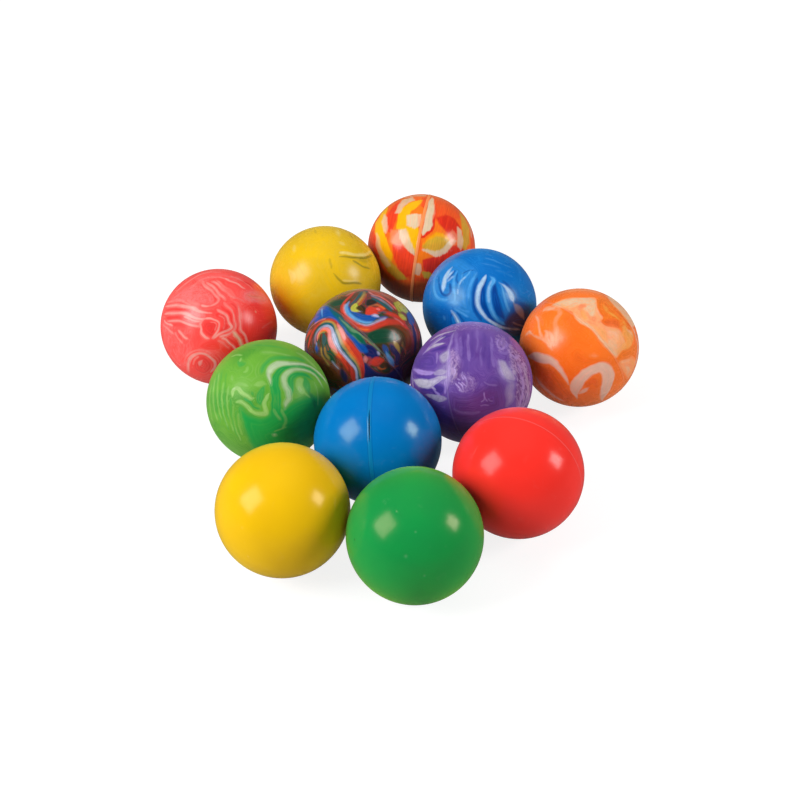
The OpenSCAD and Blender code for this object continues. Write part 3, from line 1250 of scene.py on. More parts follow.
def pink_marble() -> Ball:
    """Coral red, with thin pale lines nested in swirls."""
    haze = Pigment("haze", seen(1.0, 0.52, 0.52), [
        Patch("-84,48 -66,62 -40,74 -20,72 -8,56 -6,44 -24,38 -50,42 -72,40", strength=0.5, soft=14),
        Patch("-96,10 -80,4 -60,0 -44,-4 -44,-40 -60,-70 -80,-56 -94,-30", strength=0.4, soft=18),
        Patch("-64,34 -46,34 -26,26 -24,14 -40,4 -56,8", strength=0.5, soft=10),
        Patch("40,60 60,64 80,54 84,42 60,40 42,46", strength=0.7, soft=12),
        Patch("-40,84 0,92 40,84 30,76 0,82 -30,76", strength=0.4, soft=12),
    ], crackled=0.7, streaky=0.6)
    deep = Pigment("deep", seen(0.93, 0.17, 0.17), [
        Stroke("-23,78 -16,70 -8,62 0,54 5,47", width=3, strength=0.8),
        Stroke("-30,74 -22,66 -14,59 -6,50 -8,43", width=3, strength=0.6),
        Stroke("-92,27 -80,30 -70,31 -58,29 -48,25", width=3, strength=0.8),
        Stroke("-90,15 -78,17 -65,16 -54,13", width=4, strength=0.7, soft=3),
        Stroke("-85,38 -70,41 -56,40", width=3, strength=0.5),
        Stroke("-84,2 -70,3 -56,0", width=3, strength=0.5),
        Stroke("-72,-8 -66,-18 -62,-24", width=3, strength=0.6),
        Stroke("3,36 11,29 19,19 22,8 20,-2", width=3, strength=0.8),
        Stroke("-4,22 6,18 12,8 12,-2 3,-9", width=8, strength=0.7),
        Patch("-24,8 -12,10 -4,4 -6,-6 -14,-16 -24,-12 -28,-2", strength=0.6, soft=5),
        Stroke("8,-20 18,-22 27,-30 33,-38", width=4, strength=0.7),
        Stroke("30,-4 36,-15 42,-28", width=3, strength=0.7),
        Stroke("20,42 30,29 32,10 31,-6", width=3, strength=0.6),
        Stroke("42,30 43,10 46,-8 54,-24", width=4, strength=0.6, soft=5),
        Patch("-38,-58 -28,-54 -18,-60 -16,-72 -26,-80 -38,-76 -42,-66", strength=0.6, soft=5),
        Stroke("40,78 50,75 57,68", width=6, strength=0.7),
        Stroke("52,38 70,36 88,28", width=10, strength=0.5, soft=8),
    ])
    ruby = Pigment("ruby", seen(1.0, 0.16, 0.1), [
        Patch("44,34 66,38 90,34 99,4 94,-30 60,-40 20,-60 2,-40 20,-24 40,-8", strength=0.75, soft=16),
        Stroke("-30,-34 -8,-32 4,-40", width=16, strength=0.5, soft=14),
    ], mottle=0.1, streaky=0.3)
    # Painted reflection of a neighbouring ball: orange along the right rim and the upper right.
    painted_reflection = Pigment("painted_reflection", seen(0.9, 0.42, 0.26), [
        Stroke("72,66 84,52 92,36 97,16", width=[4, 8, 8, 5], strength=0.8, soft=6),
        Stroke("46,54 60,53 76,49", width=8, strength=0.5, soft=8),
    ])
    pale = Pigment("pale", seen(1.0, 0.6, 0.57), [
        Stroke("-28,80 -23,71 -14,62 -5,54 -1,48 -3,42 -10,38 -20,36 -30,37", width=2.6),
        Stroke("-20,77 -11,69 -2,60 5,51 11,45", width=[2, 3, 4, 4, 3]),
        Stroke("-25,75 -16,66 -8,58", width=2, strength=0.7),
        Stroke("-12,79 1,70 11,62 20,54 30,50", width=3),
        Stroke("-4,79 8,70 20,61 32,50 44,43", width=2.2, strength=0.7),
        Stroke("-50,66 -34,78 -18,85 -2,86 10,83", width=2.5, strength=0.7),
        Stroke("10,84 22,79 34,73 45,66", width=3.2),
        Stroke("20,88 34,82 48,74 58,64", width=2.5, strength=0.5),
        Stroke("-74,60 -54,76 -36,88 -14,94 6,94", strength=0.5),
        Stroke("-92,34 -75,37 -60,36 -46,32 -34,27 -22,24 -12,24", width=[3, 3.5, 4, 5, 4, 3, 2.5]),
        Stroke("-88,42 -74,45 -60,43 -48,38", width=2.5, strength=0.6),
        Stroke("-94,21 -80,24 -66,24 -52,20 -40,15 -30,12 -22,13", width=[2.5, 3, 3.5, 4, 4, 3, 2]),
        Stroke("-60,17 -50,14 -40,9 -32,8", width=3, strength=0.7),
        Stroke("-88,10 -70,10 -56,6 -46,2 -36,0", width=3, strength=0.8),
        Stroke("-94,11 -88,5 -80,2", width=2.5),
        Stroke("-96,4 -86,-6 -78,-12", width=2.2, strength=0.6),
        Stroke("-54,46 -44,40 -34,38", width=6, strength=0.4, soft=8),
        Stroke("-70,-6 -64,-12 -59,-18 -53,-20", width=3),
        Stroke("-76,-10 -70,-20 -63,-28", width=2.2, strength=0.6),
        Stroke("-24,13 -14,15 -6,12 0,5 -1,-4 -6,-12 -12,-19", width=3),
        Stroke("-15,9 -8,8 -5,2 -8,-6", width=2, strength=0.5),
        Stroke("-34,6 -31,-3 -30,-11 -25,-18 -17,-20", width=[2, 3, 4, 4, 2.5]),
        Stroke("-36,-2 -30,8 -24,14", width=2.5, strength=0.6),
        Stroke("-4,30 5,25 12,18 17,8 20,0 15,-6 7,-10 -2,-14 -10,-20",
               width=[3, 4, 4, 4, 5, 4, 3.5, 3, 2.5]),
        Stroke("0,20 7,14 10,5 8,-4", width=2, strength=0.5),
        Stroke("9,41 18,32 25,21 27,8 26,-2 20,-10 12,-15 2,-18", width=2.8),
        Stroke("20,50 30,40 38,28 39,12", width=2.2, strength=0.6),
        Stroke("32,38 36,24 36,8 38,-4 44,-16 51,-31", width=3),
        Stroke("50,56 62,50 74,50", width=3, strength=0.4),
        Stroke("4,-20 12,-23 19,-30 26,-38 31,-42", width=2.8),
        Stroke("-2,-24 8,-29 16,-38", width=2, strength=0.5),
        Stroke("-54,-78 -54,-64 -48,-52 -37,-47 -25,-48 -14,-54 -8,-63 -8,-71 -15,-79",
               width=[3, 4.5, 5, 4, 3.5, 4, 4, 3.5, 2]),
        Stroke("-60,-66 -56,-50 -44,-42 -28,-41 -14,-46", width=2, strength=0.5),
        Stroke("-33,-69 -33,-64 -29,-59", width=[6, 7, 3], strength=0.8),
        Stroke("-46,-66 -43,-57 -36,-52", width=2, strength=0.6),
        Stroke("74,-2 84,6 92,8", width=2, strength=0.3),
    ])
    cream = Pigment("cream", seen(0.93, 0.74, 0.62), [
        Stroke("22,-8 28,-13 33,-20 38,-30 43,-36", width=[4, 7, 6, 6, 4], strength=0.85),
        Stroke("62,28 66,24", width=4, strength=0.5),
    ])
    rubber = Rubber("pink_marble_rubber", (seen(1.0, 0.27, 0.25), seen(1.0, 0.33, 0.32)),
                    [haze, ruby, deep, painted_reflection, pale, cream], vein=seen(1.0, 0.46, 0.43), veins=0.45,
                    rim=(1.0, 0.25, 0.2), roughness=0.26, seed=13.0)
    return Ball("pink_marble_ball", Seam(50, -80), rubber)


def rainbow() -> Ball:
    """Folded bands of every colour."""
    brown = Pigment("brown", seen(0.5, 0.21, 0.08), [
        Stroke("12,27 29,34 48,37 64,32 75,20 76,6 70,-8", width=[4, 7, 8, 11, 16, 14, 8], soft=6),
        Stroke("-88,-10 -74,-26 -60,-42 -46,-56", width=16, strength=0.9, soft=6),
        Stroke("-62,-30 -50,-42 -40,-56", width=12, strength=0.8, soft=6),
        Stroke("34,92 50,83 60,72", width=8, strength=0.7, soft=6),
        Stroke("-34,-26 -26,-38 -20,-52", width=10, strength=0.7, soft=5),
    ])
    olive = Pigment("olive", seen(0.26, 0.2, 0.07), [
        Stroke("14,30 28,34 44,34 56,30 66,20 66,8 54,8", width=[3, 6, 7, 9, 13, 12, 8], soft=6),
        Patch("20,10 30,10 42,6 38,-2 30,-8 24,-4", strength=0.9),
        Patch("-14,72 -6,74 2,66 4,58 -4,58 -12,60"),
        Stroke("62,76 70,64 74,52 76,42", soft=3),
        Patch("28,-26 38,-24 46,-32 44,-42 32,-42", strength=0.9, soft=5),
        Stroke("-40,88 -30,82 -20,80", width=12, strength=0.6, soft=7),
    ])
    forest = Pigment("forest", seen(0.05, 0.28, 0.19), [
        Patch("7,18 10,26 24,30 40,30 50,24 50,12 38,10 26,9 14,10", soft=6),
        Stroke("-63,-9 -56,-17 -49,-25", width=[6, 9, 6]),
        Stroke("-58,76 -44,76 -30,80", width=16, strength=0.95, soft=7),
        Stroke("32,-34 38,-38 44,-34", width=3, strength=0.7, soft=3),
    ], spread=1.5)
    navy = Pigment("navy", seen(0.07, 0.13, 0.36), [
        Stroke("0,4 8,-4 16,-10 24,-16", width=18, soft=6),
        Patch("2,-28 10,-34 22,-42 40,-46 60,-34 64,-52 40,-70 6,-60", soft=7),
        Stroke("83,40 86,26 88,10 87,-8", strength=0.9),
        Stroke("96,30 98,12 97,-10", width=6, strength=0.9),
        Stroke("-98,10 -97,-2 -93,-12", strength=0.8),
        Stroke("-37,-38 -33,-48 -30,-58", width=9, strength=0.9, soft=5),
        Stroke("46,5 52,-4 58,-14 56,-28", width=8, strength=0.8, soft=5),
    ], spread=1.5)
    blue = Pigment("blue", seen(0.01, 0.31, 0.63), [
        Patch("-82,42 -80,56 -72,68 -62,69 -50,60 -40,50 -30,38 -22,28 -12,16 0,4 6,-6 -4,-6 -14,6 -24,18 "
              "-32,30 -40,42 -50,50 -62,53 -74,48"),
        Stroke("-26,70 -24,62 -14,55 -2,50 10,50 24,53", width=[5, 9, 12, 13, 12, 5]),
        Stroke("-80,3 -79,-7", width=[7, 6]),
        Stroke("-50,-70 -22,-88 12,-92 46,-80 64,-64", width=[4, 9, 10, 8, 4]),
        Patch("74,62 80,58 86,46 84,38 78,42 75,52", strength=0.8),
        Stroke("34,3 38,-4 40,-10", width=[5, 6, 4], strength=0.7),
    ], spread=1.0)
    violet = Pigment("violet", seen(0.34, 0.34, 0.64), [
        Stroke("-98,20 -93,36 -84,48 -74,54", width=[6, 9, 9, 5], soft=5),
        Stroke("-68,49 -58,52 -49,49 -42,42", width=3, strength=0.7, soft=3),
        Stroke("24,50 32,51 42,51", strength=0.7),
    ])
    teal = Pigment("teal", seen(0.02, 0.34, 0.37), [
        Stroke("-58,66 -46,56 -35,45 -26,35 -16,25 -6,15 4,6", width=[3, 6, 8, 9, 9, 9, 4]),
        Stroke("14,84 25,79 38,70 48,61", width=4.5),
        Stroke("-86,2 -84,18 -77,32 -67,40 -57,40 -51,34 -47,24 -43,12 -37,2 -30,-7 -22,-17 -14,-28 -9,-40 "
               "-7,-56", width=[2, 2, 2.5, 3, 4, 4.5, 4.5, 4.5, 5, 5, 5.5, 5.5, 5, 5]),
        Stroke("-2,95 -8,87 -16,79 -24,71", width=3.5, strength=0.8),
    ], spread=0.6)
    green = Pigment("green", seen(0.03, 0.38, 0.26), [
        Stroke("-30,38 -22,30 -12,22 -4,14 2,8", width=[4, 9, 10, 8, 3]),
    ])
    red = Pigment("red", seen(0.81, 0.22, 0.15), [
        Stroke("-94,0 -91,14 -86,27 -78,37 -70,44 -59,47 -49,44 -41,36", width=[3, 4, 4, 4, 4, 4, 4, 4],
               strength=0.8),
        Stroke("-42,34 -36,22 -29,10 -22,0 -15,-10 -8,-20 -3,-30 -1,-42 -2,-54",
               width=[5, 8, 11, 13, 14, 12, 8, 5, 5]),
        Stroke("-47,-4 -40,-14 -34,-22 -26,-32 -19,-44 -16,-58", width=[8, 9, 8, 8, 7, 6]),
        Stroke("-16,94 -28,82 -36,70 -34,58 -26,48 -15,40 -4,35 6,33 20,37 34,42 50,44 64,42 76,32",
               width=[3, 4, 5, 5, 6, 7, 9, 9, 9, 10, 9, 8, 6], strength=0.85),
        Patch("4,58 5,66 12,70 20,68 30,70 36,65 26,59 14,57", soft=3),
        Stroke("36,58 48,56 60,51 70,44", width=[5, 8, 7, 4], strength=0.85),
        Stroke("10,-25 21,-24 33,-21", width=[9, 16, 13], soft=5),
        Stroke("12,95 26,89 38,81 48,72 56,63", width=7, strength=0.7, soft=5),
        Stroke("-98,14 -94,23 -88,30", width=6, strength=0.9),
        Stroke("-34,-64 -14,-74 10,-76 34,-70 52,-58", width=[4, 8, 9, 7, 3]),
        Stroke("93,42 95,28 94,14", strength=0.5),
    ], spread=0.6, mottle=0.25)
    crimson = Pigment("crimson", seen(0.66, 0.2, 0.24), [
        Stroke("82,44 89,32 93,16 93,-2 90,-18", width=[3, 5, 6, 5, 3], strength=0.8),
        Stroke("76,34 82,20 84,4 82,-14", width=[3, 5, 5, 3], strength=0.6),
        Stroke("-12,97 0,98 14,96 28,92 42,85 54,76", width=[4, 5, 6, 6, 5, 3], strength=0.7),
        Stroke("48,54 58,48 66,42 74,36", width=4, strength=0.8),
        Stroke("30,62 40,60 50,56", width=3, strength=0.7, soft=3),
        Stroke("30,46 44,48 54,47", width=3, strength=0.6, soft=3),
        Stroke("6,-16 12,-20 10,-30", width=4, strength=0.7),
        Stroke("-20,92 -10,96 0,97", width=6, strength=0.6, soft=5),
    ])
    orange = Pigment("orange", seen(0.9, 0.42, 0.16), [
        Stroke("-76,16 -74,24 -69,29 -63,29 -60,23", width=[3, 4, 5, 4, 2]),
        Stroke("-44,34 -38,22 -33,11 -27,1 -20,-10 -13,-20 -7,-30", width=[2, 3, 4, 4, 4, 4, 3],
               strength=0.85),
        Stroke("4,91 0,84 -4,78 -8,72", width=[3, 5, 5, 3], strength=0.85),
        Stroke("8,70 18,73 27,71 37,65", width=3.5, strength=0.9),
        Stroke("-46,-6 -42,-13 -37,-19", width=4, strength=0.8, soft=3),
        Stroke("-10,34 0,31 10,32", width=4, strength=0.8),
        Stroke("24,-32 31,-36 38,-34", width=3, strength=0.7, soft=3),
        Stroke("64,6 70,-2 72,-12", width=3, strength=0.4),
    ])
    rose = Pigment("rose", seen(0.9, 0.5, 0.49), [
        Stroke("-78,12 -77,22 -71,31 -63,33 -58,28 -57,16 -54,5 -49,-3 -44,-9",
               width=[3, 3, 3, 4, 6, 8, 9, 8, 5], soft=3),
        Stroke("-96,26 -86,38 -74,46 -64,49", width=[2, 2.5, 2.5, 3], strength=0.6, soft=3),
        Stroke("-44,41 -38,31 -34,21 -31,13", width=[3, 5, 5, 3], strength=0.9),
        Stroke("3,-14 4,-24", width=7, strength=0.75, soft=5),
        Stroke("-33,74 -34,64 -28,55 -18,46 -6,40", width=2.5, strength=0.6),
        Stroke("22,66 27,65", strength=0.8, soft=3),
        Stroke("9,95 16,90 28,86 40,79 50,71 56,64", width=[4, 4, 3, 3, 3, 2], strength=0.75, soft=3),
        Stroke("86,36 90,24 92,10", width=2, strength=0.5, soft=3),
        Stroke("-30,88 -22,92 -14,94", width=4, strength=0.5),
        Stroke("52,50 60,46 68,39", width=2.5, strength=0.5),
    ])
    ochre = Pigment("ochre", seen(0.66, 0.54, 0.26), [
        Stroke("2,95 -1,88 -6,81 -12,75", width=[2, 3.5, 4, 5]),
        Stroke("-76,16 -74,23 -69,27", width=[2, 2.5, 2]),
        Stroke("-74,39 -66,44 -56,44 -49,39 -44,28 -40,16 -35,5 -29,-5 -21,-15 -13,-26 -7,-37 -4,-50",
               width=[2, 3, 3, 3.5, 4, 4, 3.5, 3, 3, 3, 2.5, 2.5]),
        Stroke("-72,2 -71,-10 -66,-20 -59,-30", width=3.5, strength=0.85),
        Stroke("-66,2 -64,-10 -58,-20", width=4, strength=0.6),
        Stroke("-56,-2 -50,-6 -46,-12", strength=0.6),
        Stroke("51,11 57,3 62,-9", width=[6, 7, 2], soft=3),
        Stroke("66,10 69,-2", strength=0.4),
    ], spread=0.3)
    lemon = Pigment("lemon", seen(0.72, 0.72, 0.26), [
        Patch("-21,64 -20,71 -13,76 -10,72 -13,67 -8,62 -15,61", soft=2.5),
        Chip("51,76 58,80 68,73 76,62 72,58 66,62 60,60 56,66", strength=0.9, soft=3),
        Chip("59,58 66,58 72,52 73,47 66,48 61,53", strength=0.85, soft=3),
        Stroke("-70,26 -65,26", width=2, strength=0.6),
        Stroke("-40,-66 -16,-80 12,-83 40,-74 58,-60", width=3),
    ], mottle=0.3)
    pale = Pigment("pale", seen(0.72, 0.72, 0.86), [
        Stroke("-82,8 -81,20 -76,30 -68,36 -60,37 -54,32 -51,22 -48,10 -42,0 -36,-9 -28,-18 -20,-28 "
               "-13,-38 -10,-56", width=[2, 2, 2.5, 3, 3, 4, 5, 5, 4, 3.5, 3, 3, 2.5, 2.5]),
        Stroke("-30,74 -32,66 -28,57 -19,49 -8,42 2,39 14,41 26,46 38,50",
               width=[2, 2.5, 2.5, 2.5, 2.5, 2.5, 2.5, 2.5, 2], strength=0.75),
        Stroke("14,55 20,55 25,53", width=[3, 4, 3], soft=3),
        Stroke("15,88 28,82 41,73 51,64", width=2.5, strength=0.7),
        Stroke("-54,-22 -48,-30 -42,-37", width=2.5, strength=0.7),
        Stroke("24,-7 28,-13", width=3, strength=0.6, soft=3),
        Stroke("-26,-64 -6,-69 14,-70 34,-63", width=2.5, strength=0.8),
        Stroke("-10,62 -4,61", width=3, strength=0.5, soft=3),
    ], spread=0.3)
    sky = Pigment("sky", seen(0.36, 0.62, 0.82), [
        Stroke("-24,79 -29,70 -27,61 -18,52 -7,46 4,43 16,45", width=[2, 4, 5, 4, 4, 4, 2], strength=0.9),
        Stroke("-71,66 -70,58 -69,51", width=[4, 3, 2], strength=0.8, soft=3),
        Stroke("-80,10 -79,3", strength=0.9),
        Stroke("38,-7 43,-16 48,-24 51,-31", width=[3, 7, 8, 4], strength=0.8),
        Stroke("-47,18 -44,8 -39,0", width=2, strength=0.6),
    ])
    core = Pigment("core", seen(0.18, 0.32, 0.33), [
        Stroke("-68,24 -67,14 -68,4", width=[6, 9, 5], soft=3),
        Stroke("22,60 32,60 40,58", width=3.5, strength=0.8, soft=3),
    ])
    ink = Pigment("ink", seen(0.09, 0.07, 0.07), [
        Patch("5,72 6,80 14,82 22,77 14,72", strength=0.85),
        Stroke("-4,72 1,66 2,59", strength=0.7),
        Stroke("-73,22 -73,10 -71,0", width=2, strength=0.7),
        Stroke("-86,12 -85,0 -82,-10", width=2.5, strength=0.7),
        Stroke("-88,6 -86,18 -79,33 -70,40", width=2, strength=0.55),
        Stroke("-40,-28 -36,-36 -35,-50", width=4, strength=0.6),
        Stroke("-29,-24 -25,-32 -24,-44", width=2.5, strength=0.5),
        Stroke("-38,60 -26,46 -14,36 0,24 8,16", width=2.5, strength=0.5, soft=3),
        Stroke("26,61 34,57 44,54", width=2.5, strength=0.6),
        Stroke("58,70 66,58 74,50 76,40", width=2, strength=0.7),
        Stroke("26,2 30,-6 33,-14", width=4, strength=0.7, soft=3),
        Stroke("42,4 46,-4 50,-12", width=2.5, strength=0.7),
        Stroke("38,-24 46,-34 56,-40", width=4, strength=0.6),
        Stroke("60,-30 66,-10 70,8", width=6, strength=0.6, soft=6),
        Patch("86,-6 99,-4 96,-30 80,-60 54,-76 58,-34 70,-18", strength=0.7, soft=12),
        Stroke("-72,-16 -62,-32 -50,-46", width=6, strength=0.4, soft=6),
        Stroke("-2,-32 0,-44 0,-56", width=2.5, strength=0.5),
    ], streaky=0.7)
    seam = Pigment("parting", seen(0.44, 0.58, 0.42), [
        Stroke("-42,52 -34,44 -26,36 -16,29 -7,24 2,17 11,9 20,2 28,-7",
               width=[1, 2, 3, 3, 2, 2, 1.5, 1.5, 1], strength=0.85),
        Stroke("-24,32 -18,29 -12,26", width=4, strength=0.6),
        Stroke("-20,22 -12,15 -4,8", width=1, strength=0.5),
    ])
    rubber = Rubber("rainbow_rubber",
                    (seen(0.1, 0.13, 0.24), seen(0.08, 0.28, 0.31), seen(0.12, 0.3, 0.18),
                     seen(0.36, 0.2, 0.1), seen(0.56, 0.2, 0.15), seen(0.24, 0.2, 0.28),
                     seen(0.1, 0.2, 0.36)),
                    [brown, olive, forest, navy, blue, violet, teal, green, red, crimson, orange, rose,
                     ochre, lemon, pale, sky, core, ink, seam], vein=seen(0.58, 0.36, 0.26), veins=0.55,
                    rim=(0.5, 0.35, 0.35), wobble=0.002, seed=17.0)
    return Ball("rainbow_ball", Seam(66, 39), rubber)


def orange_marble() -> Ball:
    """Orange, with cream mottling and two beige arches."""
    deep = Pigment("deep", seen(0.94, 0.36, 0.1), [
        Patch("-76,-26 -58,-32 -42,-36 -30,-50 -20,-66 -8,-86 -30,-90 -60,-64", strength=0.6, soft=8),
        Stroke("8,-60 16,-62 26,-56 32,-66", width=9, strength=0.6, soft=6),
        Patch("-2,-6 20,-18 44,-20 58,-24 44,-30 16,-28 -6,-20", strength=0.4, soft=12),
    ])
    salmon = Pigment("salmon", seen(0.98, 0.66, 0.45), [
        Patch("-46,70 -34,78 -14,84 8,85 26,84 30,72 32,62 38,52 37,44 44,38 54,34 66,32 72,24 76,10 78,0 "
              "70,-6 63,-17 56,-10 48,0 37,13 24,27 12,37 0,46 -6,53 -10,60 -18,64 -26,68", soft=3),
        Patch("68,-24 76,-18 86,-14 94,-22 91,-38 82,-52 76,-44 72,-34", strength=0.75, soft=6),
        Stroke("-64,72 -46,86 -24,94 0,96 22,95 40,89 52,83", width=4, strength=0.75),
    ], mottle=0.12, streaky=0.35, crackled=0.3, dull=0.3)
    cream = Pigment("cream", seen(0.87, 0.75, 0.61), [
        Patch("-43,71 -30,78 -12,83 8,84 22,82 26,76 18,72 8,74 -4,72 -12,68 -22,70", strength=0.95),
        Patch("10,70 20,74 28,72 28,62 26,54 18,54 14,60 9,64", strength=0.85, soft=5),
        Stroke("-8,58 -4,52 4,45 14,39 26,28 37,16 47,4 56,-6 62,-14", width=[3, 5, 5, 5, 5, 6, 8, 9, 4],
               strength=0.7),
        Patch("50,12 58,14 62,6 66,-6 62,-14 56,-8 50,0", strength=0.6, soft=5),
        Stroke("78,-28 83,-36 80,-46", width=[7, 10, 6], strength=0.6, soft=5),
        Patch("46,87 56,84 66,77 76,66 84,54 92,40 88,36 79,47 72,56 62,68 52,78"),
        Stroke("-54,62 -46,66 -38,64", strength=0.5, soft=5),
    ], mottle=0.1, streaky=0.4, crackled=0.4, dull=0.3)
    peach_and_painted_light = Pigment("peach_and_painted_light", seen(1.0, 0.71, 0.56), [
        Stroke("-40,72 -34,66 -32,58 -38,50 -40,40 -38,30 -37,16 -39,2", width=[4, 7, 7, 7, 7, 8, 9, 6],
               strength=0.5, soft=6),
        Stroke("-62,60 -54,66 -45,66 -37,70", width=[6, 10, 8, 5], strength=0.75, soft=6),
        Stroke("-74,54 -69,46 -67,34 -65,24 -60,14 -55,6", width=[4, 6, 6, 6, 5, 3], strength=0.85),
        Stroke("-90,20 -83,26 -76,22 -67,17 -58,11", width=[3, 5, 4, 5, 3]),
        # These two strokes lie where the left lamp's highlight falls, and are partly painted highlight.
        Stroke("-60,30 -54,26 -54,16 -50,6 -45,-4", width=[5, 9, 9, 10, 6], strength=0.85),
        Stroke("-49,28 -44,14 -42,0", width=[5, 9, 5], strength=0.8),
        Stroke("-32,24 -28,12", width=6, strength=0.3, soft=6),
        Patch("46,31 60,30 66,22 64,10 58,12 52,20", strength=0.7, soft=6),
        Stroke("30,70 32,60 38,52 38,45", strength=0.8),
        Stroke("20,-13 33,-15", width=6, strength=0.3, soft=5),
        Stroke("72,-24 78,-22 86,-20", strength=0.6),
    ], crackled=0.25)
    coral = Pigment("coral", seen(0.97, 0.5, 0.32), [
        Patch("-2,68 2,73 9,72 12,68 6,67 4,64", strength=0.75, soft=3),
        Stroke("-2,66 4,60 6,54", width=2.5, strength=0.7, soft=3),
        Stroke("12,60 17,56 18,50 24,47", width=2, strength=0.7, soft=3),
        Stroke("-20,68 -12,74 -2,76", width=2, strength=0.5, soft=3),
        Stroke("14,46 20,42 26,40 32,36", width=2, strength=0.6, soft=3),
        Stroke("44,26 50,18 56,18 60,22", width=2, strength=0.5, soft=3),
        Patch("20,52 26,54 30,50 28,44 22,44", strength=0.6, soft=5),
        Stroke("32,43 38,42 44,38", width=4, strength=0.7),
        Stroke("40,34 46,30 52,30", width=3, strength=0.4),
        Stroke("-24,66 -16,62 -10,56", width=3, strength=0.6),
        Stroke("-68,52 -62,46 -60,38", strength=0.4, soft=5),
        Stroke("76,-30 86,-28 92,-30", width=3, strength=0.5),
    ])
    amber = Pigment("amber", seen(0.95, 0.62, 0.3), [
        Patch("66,42 76,42 84,34 90,22 88,8 82,-4 70,-4 70,4 76,12 70,22 72,32", soft=5),
        Stroke("66,24 68,12 68,2", strength=0.5, soft=5),
        Patch("34,30 44,30 48,20 46,12 40,16", strength=0.6, soft=5),
        Stroke("24,36 32,30 38,20", width=4, strength=0.5),
        Stroke("54,24 60,16 66,8 70,-2", width=[4, 7, 6, 3], strength=0.5, soft=5),
        Stroke("50,32 58,30 66,32", width=4, strength=0.6),
        Patch("2,62 8,62 12,56 16,50 10,48 4,54", strength=0.65),
        Stroke("-30,73 -18,70 -8,72", width=3, strength=0.5),
        Patch("62,-4 68,0 76,-4 72,-8 66,-12", strength=0.7),
        Stroke("22,62 26,66", width=4, strength=0.4),
        Stroke("88,-22 92,-28", width=4, strength=0.6),
    ], mottle=0.12)
    orange = Pigment("island", seen(0.99, 0.46, 0.11), [
        Patch("29,74 30,82 38,85 47,81 55,73 62,65 70,55 79,44 88,33 83,29 76,38 68,34 58,34 48,35 40,38 "
              "37,44 40,50 37,58 31,66", soft=3.5),
        Patch("70,-8 78,-3 86,0 92,4 94,-6 88,-14 78,-20 66,-18", strength=0.9),
        Stroke("94,28 97,10 96,-4", width=4, strength=0.7),
    ])
    ember = Pigment("ember", seen(0.93, 0.38, 0.12), [
        Patch("38,44 48,48 58,48 66,44 66,34 58,36 46,36", strength=0.8, soft=5),
        Stroke("34,66 38,56 46,54", strength=0.5),
        Stroke("56,68 64,60 73,50 82,40 91,31", width=[3, 5, 4, 4, 2], strength=0.7, soft=3),
    ])
    glow = Pigment("glow", seen(1.0, 0.64, 0.26), [
        Stroke("40,72 45,66 46,60", width=[6, 9, 6], strength=0.8),
        Stroke("46,62 53,57 60,52 67,46", width=[4, 6, 5, 4], strength=0.8),
        Stroke("50,79 58,71 65,63 73,53 81,43", width=[3, 4, 4, 4, 3], strength=0.6),
        Stroke("46,78 54,70", strength=0.5),
        Stroke("72,46 78,38", width=6, strength=0.6),
    ])
    beige = Pigment("beige", seen(0.92, 0.74, 0.65), [
        Stroke("-84,-15 -72,-16 -60,-18 -50,-20 -42,-25 -34,-33 -27,-42 -21,-52 -17,-63",
               width=[11, 15, 16, 14, 12, 9, 7, 5, 2]),
        Stroke("-72,-50 -62,-63 -50,-75 -38,-84 -24,-91", width=[6, 10, 10, 8, 5], strength=0.7, soft=6),
        Stroke("-2,-86 -5,-74 -3,-63 4,-53 14,-44 26,-37 38,-33 47,-37 51,-47 49,-60 44,-74 38,-90",
               width=[8, 16, 20, 18, 17, 16, 16, 19, 22, 20, 18, 12]),
        Stroke("2,-78 10,-73 18,-67", width=[8, 9, 5], strength=0.8),
        Stroke("84,42 91,30 95,16 98,2 97,-14 94,-28", width=[2, 4, 4, 4, 6, 5], strength=0.8, soft=3),
        Stroke("80,30 86,26 89,20", strength=0.4),
    ], mottle=0.08, streaky=0.2)
    rubber = Rubber("orange_marble_rubber", (seen(1.0, 0.49, 0.15), seen(1.0, 0.43, 0.1)),
                    [deep, salmon, cream, peach_and_painted_light, coral, amber, orange, ember, glow, beige],
                    vein=seen(1.0, 0.56, 0.24), veins=0.25, rim=(1.0, 0.6, 0.35), roughness=0.27, seed=21.0)
    return Ball("orange_marble_ball", Seam(70.5, 40), rubber)


